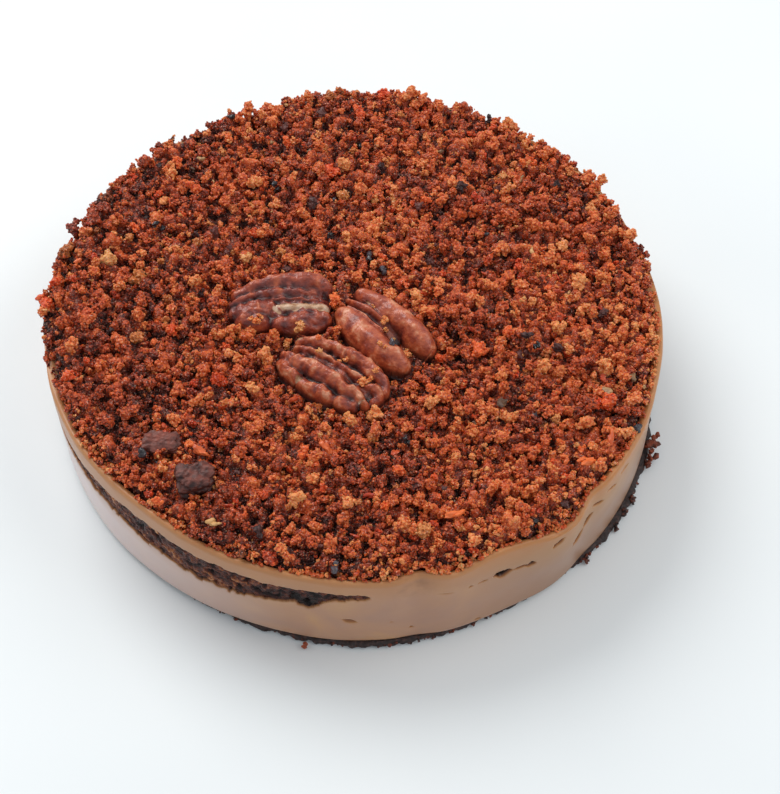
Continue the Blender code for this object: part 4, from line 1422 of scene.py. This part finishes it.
# Scraps that lie at known places: kind, x and y in mm, radius in mm, tint.
SCRAPS = (
    ("nut_scraps", -35.3, -76.0, 2.3, 0.8),
    ("nut_scraps", 79.0, -21.4, 2.2, 0.3),
    ("nut_scraps", 71.3, -27.5, 2.3, 0.4),
    ("nut_scraps", 42.0, -31.4, 2.6, 0.2),
    ("currants", -2.7, 65.3, 2.0, 0.0),
    ("currants", -27.1, 44.9, 1.9, 0.2),
    ("currants", -9.3, 25.2, 2.0, 0.1),
    ("currants", -60.8, 25.9, 2.4, 0.1),
    ("currants", -56.7, -54.5, 2.0, 0.3),
    ("currants", 51.5, -12.4, 2.1, 0.0),
    ("currants", 15.5, -46.5, 1.9, 0.1),
    ("currants", 80.0, -36.5, 2.1, 0.9),
    ("currants", -2.2, -86.2, 2.2, 1.0),
    ("currants", 6.6, 14.4, 1.9, 0.9),
    ("currants", 2.4, 18.2, 1.8, 0.6),
    ("currants", -43.0, 72.0, 1.6, 0.1),
    ("currants", 50.0, -70.6, 2.0, 0.1),
    ("currants", 51.0, -35.0, 1.6, 0.8),
    ("carrot_bits", 71.6, -43.4, 3.1, 0.6),
    ("carrot_bits", 65.0, -50.5, 3.3, 1.0),
    ("carrot_bits", 29.0, -70.0, 2.6, 0.9),
    ("carrot_bits", -6.7, -49.3, 2.9, 0.9),
    ("carrot_bits", -40.5, -53.4, 3.2, 0.6),
)
# Small scraps strewn all over: how many, smallest and largest radius in mm.
STREWN_SCRAPS = {
    "nut_scraps": (55, 0.7, 1.5),
    "currants": (26, 0.7, 1.4),
    "carrot_bits": (150, 0.8, 2.0),
    "dark_sponge_bits": (80, 1.0, 2.4),
}

for kinds in DROP_ORDER:
    queue = [name for name in kinds for _ in range(CRUMB_KINDS[name][0])]
    chance.shuffle(queue)
    for name in queue:
        _, smallest, largest, sink, shift = CRUMB_KINDS[name]
        radius = (smallest + (largest - smallest) * chance.random() ** 1.6) * MM
        for _ in range(TRIES):
            x, y = anywhere(STREWN_REACH)
            if heap_edge(x, y) < tuck(x, y) * radius or near_nut(x, y) < 0.5 * radius:
                continue
            if level_at(x, y) < heap_limit(x, y) - NEARLY_FULL * radius:
                fall(name, x, y, radius, sink, tone(x, y) + shift + chance.gauss(0, 0.10), chance.random())
                break
    if kinds[0] == "fine_amber_crumbs":
        for _ in range(RIM_CRUMBS):
            turn = math.radians(chance.uniform(*RIM_SPAN))
            edge = float(np.interp(math.degrees(turn), outline_azimuths, outline_radii))
            reach = edge - chance.uniform(0.7, 3.4) * MM
            x, y = reach * math.cos(turn), reach * math.sin(turn)
            if level_at(x, y) < HEAP_LIMIT - RIM_LIMIT_DROP:
                name, radius = chance.choice(kinds), chance.uniform(0.5, 1.2) * MM
                fall(name, x, y, radius, 0.4, tone(x, y) + 0.15, chance.random())
    if kinds[0] == "amber_clumps":
        for name, x, y, radius, tint in SCRAPS:
            fall(name, x * MM, y * MM, radius * MM, 0.45, tint, 0.5)
        for name, (count, smallest, largest) in STREWN_SCRAPS.items():
            for _ in range(count):
                x, y = anywhere(SCRAP_REACH)
                if near_nut(x, y) > 1 * MM and level_at(x, y) < heap_limit(x, y) - SCRAP_LIMIT_DROP:
                    fall(name, x, y, chance.uniform(smallest, largest) * MM, 0.35, chance.random(), 0.5)

# Crumbs in the heap's hollows are painted darker and those on its hills lighter: painted shade and light.
HOLLOW_SHADE_REACH, HOLLOW_SHADE_TONE = 5 * MM, 0.13  # how wide the mean is taken, and the tone for each mm from it
reach = int(HOLLOW_SHADE_REACH / CELL)
smooth = blurred(level, reach) / np.maximum(blurred((level > 0).astype(float), reach), 0.05)
for spots in strewn_spots.values():
    for spot in spots:
        above = (spot[2] - smooth[cell_of(*spot[:2])]) / MM
        spot[4] += HOLLOW_SHADE_TONE * max(-2.0, min(1.5, above))

# Crumbs that lie on and round the nuts: kind, x and y in mm, radius in mm, tint and hue.
ON_NUTS = (
    ("amber_clumps", 7.7, -7.3, 1.6, 0.9, 0.5),
    ("amber_crumbs", 8.2, -9.6, 1.2, 1.0, 0.5),
    ("amber_crumbs", 7.0, -17.9, 1.2, 0.9, 0.5),
    ("amber_crumbs", 8.3, -18.6, 0.8, 0.9, 0.5),
    ("amber_crumbs", 10.6, -11.6, 0.7, 1.0, 0.02),
    ("currants", 10.3, -16.5, 1.5, 0.9, 0.5),
    ("amber_crumbs", 4.4, -2.8, 0.7, 1.0, 0.5),
    ("amber_clumps", 3.0, -29.0, 2.1, 0.85, 0.5),
    ("amber_crumbs", 6.0, -26.4, 1.3, 0.9, 0.5),
    ("amber_crumbs", 4.9, -27.6, 1.0, 0.9, 0.5),
    ("amber_crumbs", -2.5, -22.0, 1.1, 0.9, 0.5),
    ("amber_crumbs", -10.2, -20.6, 1.2, 0.95, 0.02),
    ("amber_crumbs", -4.4, -23.0, 0.7, 0.9, 0.5),
    ("amber_clumps", -9.0, -13.6, 1.5, 0.85, 0.5),
    ("amber_crumbs", -10.7, -16.0, 1.1, 0.9, 0.97),
    ("amber_crumbs", -7.2, -14.4, 0.9, 0.9, 0.5),
    ("amber_clumps", -5.7, -10.1, 1.8, 0.7, 0.5),
    ("amber_clumps", -16.5, -10.5, 2.0, 0.8, 0.02),
    ("amber_clumps", -19.6, -12.4, 1.7, 0.7, 0.5),
    ("brown_clumps", -30.6, -11.0, 2.3, 0.75, 0.5),
    ("brown_clumps", -32.8, -11.2, 2.1, 0.75, 0.5),
    ("amber_clumps", -28.6, -9.8, 1.6, 0.75, 0.5),
    ("brown_clumps", -34.9, -11.8, 2.4, 0.7, 0.5),
    ("brown_clumps", -31.2, -13.4, 2.4, 0.6, 0.5),
    ("amber_crumbs", -27.6, -8.4, 1.1, 0.9, 0.5),
    ("amber_crumbs", -30.4, -9.0, 1.1, 0.8, 0.5),
    ("amber_clumps", -6.9, -0.6, 2.3, 0.75, 0.99),
    ("amber_clumps", -7.3, 1.6, 1.7, 0.95, 0.99),
    ("amber_clumps", 16.3, 4.6, 2.4, 1.0, 0.5),
    ("amber_crumbs", 5.4, 4.4, 1.2, 0.9, 0.5),
)


def side_of(mesh):
    """A mesh's surface, to find places on it."""
    points = [point.co for point in mesh.vertices]
    return BVHTree.FromPolygons(points, [face.vertices[:] for face in mesh.polygons])


def below(place, sides):
    """The heights at which a plumb line from a place meets the surfaces."""
    hits = [side.ray_cast(place, Vector((0, 0, -1)))[0] for side in sides]
    return [hit.z for hit in hits if hit]


nut_sides = [side_of(mesh) for mesh in nut_meshes]
for name, x, y, radius, tint, hue in ON_NUTS:
    above = Vector((x * MM, y * MM, 0.1))
    top = max(below(above, nut_sides) + [level_at(x * MM, y * MM)])
    strewn_spots[name].append([x * MM, y * MM, top + 0.5 * radius * MM, radius * MM, tint, hue, any_turn()])

TOUCHING = 0.55  # a crumb touches what comes nearer to its middle than this share of its radius
STEP_IN, STEPS_IN = 0.4 * MM, 12
EDGE_STRIP = 3 * MM  # inside it the bed covers the cream, and what finds only cream below is buried


def settle(spots, sides):
    """Moves what hangs clear of the surfaces: down on what is under it, or in from the heap's edge."""
    for spot in spots:
        for _ in range(STEPS_IN):
            middle, reach = Vector(spot[:3]), TOUCHING * spot[3]
            if any(side.find_nearest(middle, reach)[0] for side in sides):
                break
            inside = heap_edge(middle.x, middle.y) > EDGE_STRIP
            lowest = CREAM_BED + (0.5 if inside else -1.0) * MM
            tops = [top for top in below(middle, sides) if top > lowest]
            if tops:
                spot[2] = max(tops) + 0.9 * reach
            if tops or inside:
                break
            shrunk = 1 - STEP_IN / math.hypot(middle.x, middle.y)
            spot[0], spot[1] = middle.x * shrunk, middle.y * shrunk


# Kinds of which every crumb is settled. Of the others only those at the heap's edge are.
SETTLED = ("fine_amber_crumbs", "fine_brown_crumbs", "crumb_grains")
# Each kind of crumb: how many forms, and a form's faces, lobes, granules and their sizes.
FORM_PLANS = {
    "amber_clumps": (14, (345, 6, 70, (0.12, 0.25))),
    "brown_clumps": (14, (345, 6, 70, (0.12, 0.25))),
    "amber_crumbs": (14, (130, 4, 30, (0.15, 0.30))),
    "brown_crumbs": (14, (130, 4, 30, (0.15, 0.30))),
    "fine_amber_crumbs": (12, (50, 3, 12, (0.24, 0.40))),
    "fine_brown_crumbs": (12, (50, 3, 12, (0.24, 0.40))),
    "crumb_grains": (8, (20, 1, 3, (0.40, 0.55))),
}
sides = nut_sides + [side_of(piece.data) for piece in (cream, bed)]
for order, (name, (many, form_plan)) in enumerate(FORM_PLANS.items()):
    loose = strewn_spots[name]
    if name not in SETTLED:
        loose = [spot for spot in loose if heap_edge(*spot[:2]) < spot[3]]
    settle(loose, sides)
    kinds = [crumb_form(f"{name}_form_{k:02d}", 100 * order + k, *form_plan) for k in range(many)]
    spots = strewn_spots[name]
    laid = lay(name, spots, kinds, cake_crumb, "crumb_topping", seed=order + 1)
    sides.append(side_of(laid.data))


# ---------------------------------------------------------------------------------------------
# Scraps among the crumbs: pinches of dark sponge, currants, which are near black with a bluish
# bloom, broken nut, dull tan to grey, and shreds of bright carrot.
def plain_scrap(name, low, high, size, roughness, relief_mm):
    """A scrap's material: two colours by its tint, mottled at a size in mm, with a fine relief."""
    made, tree, shader, place = new_finish(name)
    tint = add_node(tree, "ShaderNodeAttribute", attribute_name="tint")
    mottle = add_node(tree, "ShaderNodeTexNoise", {"Vector": place, "Scale": per_mm(size), "Detail": 5.0})
    centred = add_node(
        tree,
        "ShaderNodeMapRange",
        {"Value": mottle.outputs["Fac"], "From Min": 0.3, "From Max": 0.7, "To Min": -0.35, "To Max": 0.35},
    )
    toned = add_node(
        tree, "ShaderNodeMath", {0: tint.outputs["Fac"], 1: centred.outputs["Result"]}, operation="ADD"
    )
    colour = add_node(
        tree, "ShaderNodeValToRGB", {"Fac": toned.outputs["Value"]}, stops=((0.0, low), (1.0, high))
    )
    relief = add_node(
        tree,
        "ShaderNodeBump",
        {"Height": mottle.outputs["Fac"], "Strength": 0.8, "Distance": relief_mm * MM},
    )
    plug(tree, shader, {"Base Color": colour.outputs["Color"], "Normal": relief.outputs["Normal"]})
    plug(tree, shader, {"Roughness": roughness})
    return made


# Each kind: dark and light colour, mottling in mm, roughness, relief in mm, and a form's faces,
# lobes, granules, their sizes and its stretch.
SCRAP_PLANS = {
    "nut_scraps": ("#5a4030", "#d2a066", 2.0, 0.45, 0.3, (110, 2, 4, (0.25, 0.35), (1.0, 0.75, 0.6))),
    "currants": ("#0e0b0d", "#4e484e", 1.6, 0.26, 0.3, (120, 2, 8, (0.16, 0.26), (1.0, 0.85, 0.7))),
    "carrot_bits": ("#a82e0e", "#e06c30", 1.8, 0.40, 0.35, (100, 3, 8, (0.18, 0.30), (1.3, 0.55, 0.5))),
    "dark_sponge_bits": ("#2a1010", "#6e3a32", 1.2, 0.55, 0.45, (220, 3, 40, (0.14, 0.22), (1.0, 0.9, 0.7))),
}
for order, (name, plan) in enumerate(SCRAP_PLANS.items()):
    low, high, size, roughness, relief_mm, form_plan = plan
    kinds = [crumb_form(f"{name}_form_{k}", 900 + 20 * order + k, *form_plan) for k in range(8)]
    finish = plain_scrap(f"{name}_surface", low, high, size, roughness, relief_mm)
    settle(strewn_spots[name], sides)
    lay(name, strewn_spots[name], kinds, finish, "crumb_topping", 0.15, 40 + order)

# Two chunks of dark sponge lie near the front left: x, y and z of the middle, length, width and
# height in mm, turn in degrees, and how light the chunk is.
CHUNKS = (
    ("sponge_chunk", (-41.3, -62.3, 39.7), (13.6, 12.0, 9.0), 14, 0.18),
    ("flat_sponge_chunk", (-52.0, -50.0, 38.3), (13.8, 8.6, 5.2), 4, 0.40),
)
CHUNK_TILT = 9  # degrees
CHUNK_GRAINS, CHUNK_FACES, CHUNK_VOXEL = 380, 5000, 0.035
chunk_finish = plain_scrap("pressed_dark_sponge", "#2a0f0d", "#8a4636", 1.8, 0.55, 0.6)
for number, (name, middle, size, spin, lightness) in enumerate(CHUNKS):
    draw = random.Random(500 + number)
    shape = bmesh.new()
    bmesh.ops.create_cube(shape, size=0.9)
    for _ in range(CHUNK_GRAINS):
        spot = Vector([draw.uniform(-0.52, 0.52) for _ in range(3)])
        spot *= 1 - 0.25 * abs(noise.noise(spot * 3 + Vector((number, 0, 0))))
        grown = Matrix.Diagonal((*(draw.uniform(0.6, 1.4) for _ in range(3)), 1))
        bmesh.ops.create_icosphere(
            shape, subdivisions=1, radius=draw.uniform(0.07, 0.30), matrix=Matrix.Translation(spot) @ grown
        )
    form = solid_form(name, shape, CHUNK_FACES, CHUNK_VOXEL, [extent * MM / 2 for extent in size])
    chunk = form.data
    bpy.data.objects.remove(form)
    chunk.transform(
        Matrix.Translation([part * MM for part in middle])
        @ Matrix.Rotation(math.radians(spin), 4, "Z")
        @ Matrix.Rotation(math.radians(CHUNK_TILT), 4, "X")
    )
    tops = np.array([vertex.co.z for vertex in chunk.vertices])
    # Painted light and shade: each chunk is lighter on top and darker underneath.
    tint = lightness + 0.5 * np.clip((tops - middle[2] * MM) / (size[2] * MM / 2), -1, 1) ** 3
    note(chunk, "tint", tint)
    show(name, chunk, chunk_finish, "crumb_topping")

# ---------------------------------------------------------------------------------------------
# Foot crumbs: what the biscuit base sheds. They lie against its edge on the floor, with a lump of
# cake crumb caught at the right.
FOOT_CRUMBS = 620
# Azimuth, radius to the middle, size and height of the middle in mm, and tint.
FOOT_LUMPS = (
    (-12.6, 92.0, 2.7, 2.9, 0.42),
    (-14.9, 92.6, 2.4, 2.5, 0.5),
    (-11.4, 92.2, 1.7, 4.6, 0.6),
    (-16.6, 91.9, 1.8, 2.0, 0.3),
    (-25.0, 91.6, 1.9, 1.7, 0.15),
    (-28.5, 91.4, 1.7, 1.5, 0.1),
    (-32.0, 91.6, 1.5, 1.4, 0.1),
    (-41.0, 91.2, 1.5, 1.4, 0.3),
    (-96.5, 91.8, 1.3, 1.2, 0.8),
)

foot_spots = []
for _ in range(FOOT_CRUMBS):
    turn = chance.uniform(-180, 180)
    size = chance.uniform(0.3, 0.9) * MM
    out = BASE_RADIUS + (chance.uniform(-1.0, 0.1) + float(bumps(turn, BASE_BULGES))) * MM
    lift = chance.uniform(0.0, 0.8) * MM
    spot = around(turn, out, size + lift).tolist()
    foot_spots.append((*spot, size, chance.uniform(0, 0.45), 0.5, any_turn()))
for turn, out, size, high, tint in FOOT_LUMPS:
    spot = around(turn, out * MM, max(high, size) * MM).tolist()
    foot_spots.append((*spot, size * MM, tint, 0.5, any_turn()))
kinds = [crumb_form(f"foot_crumb_form_{k}", 700 + k, 140, 3, 26, (0.2, 0.32)) for k in range(10)]
foot_finish = plain_scrap("shed_biscuit_crumb", "#1b0d0c", "#a34a28", 1.0, 0.6, 0.4)
lay("foot_crumbs", foot_spots, kinds, foot_finish, "biscuit_base", 0.25, 60)
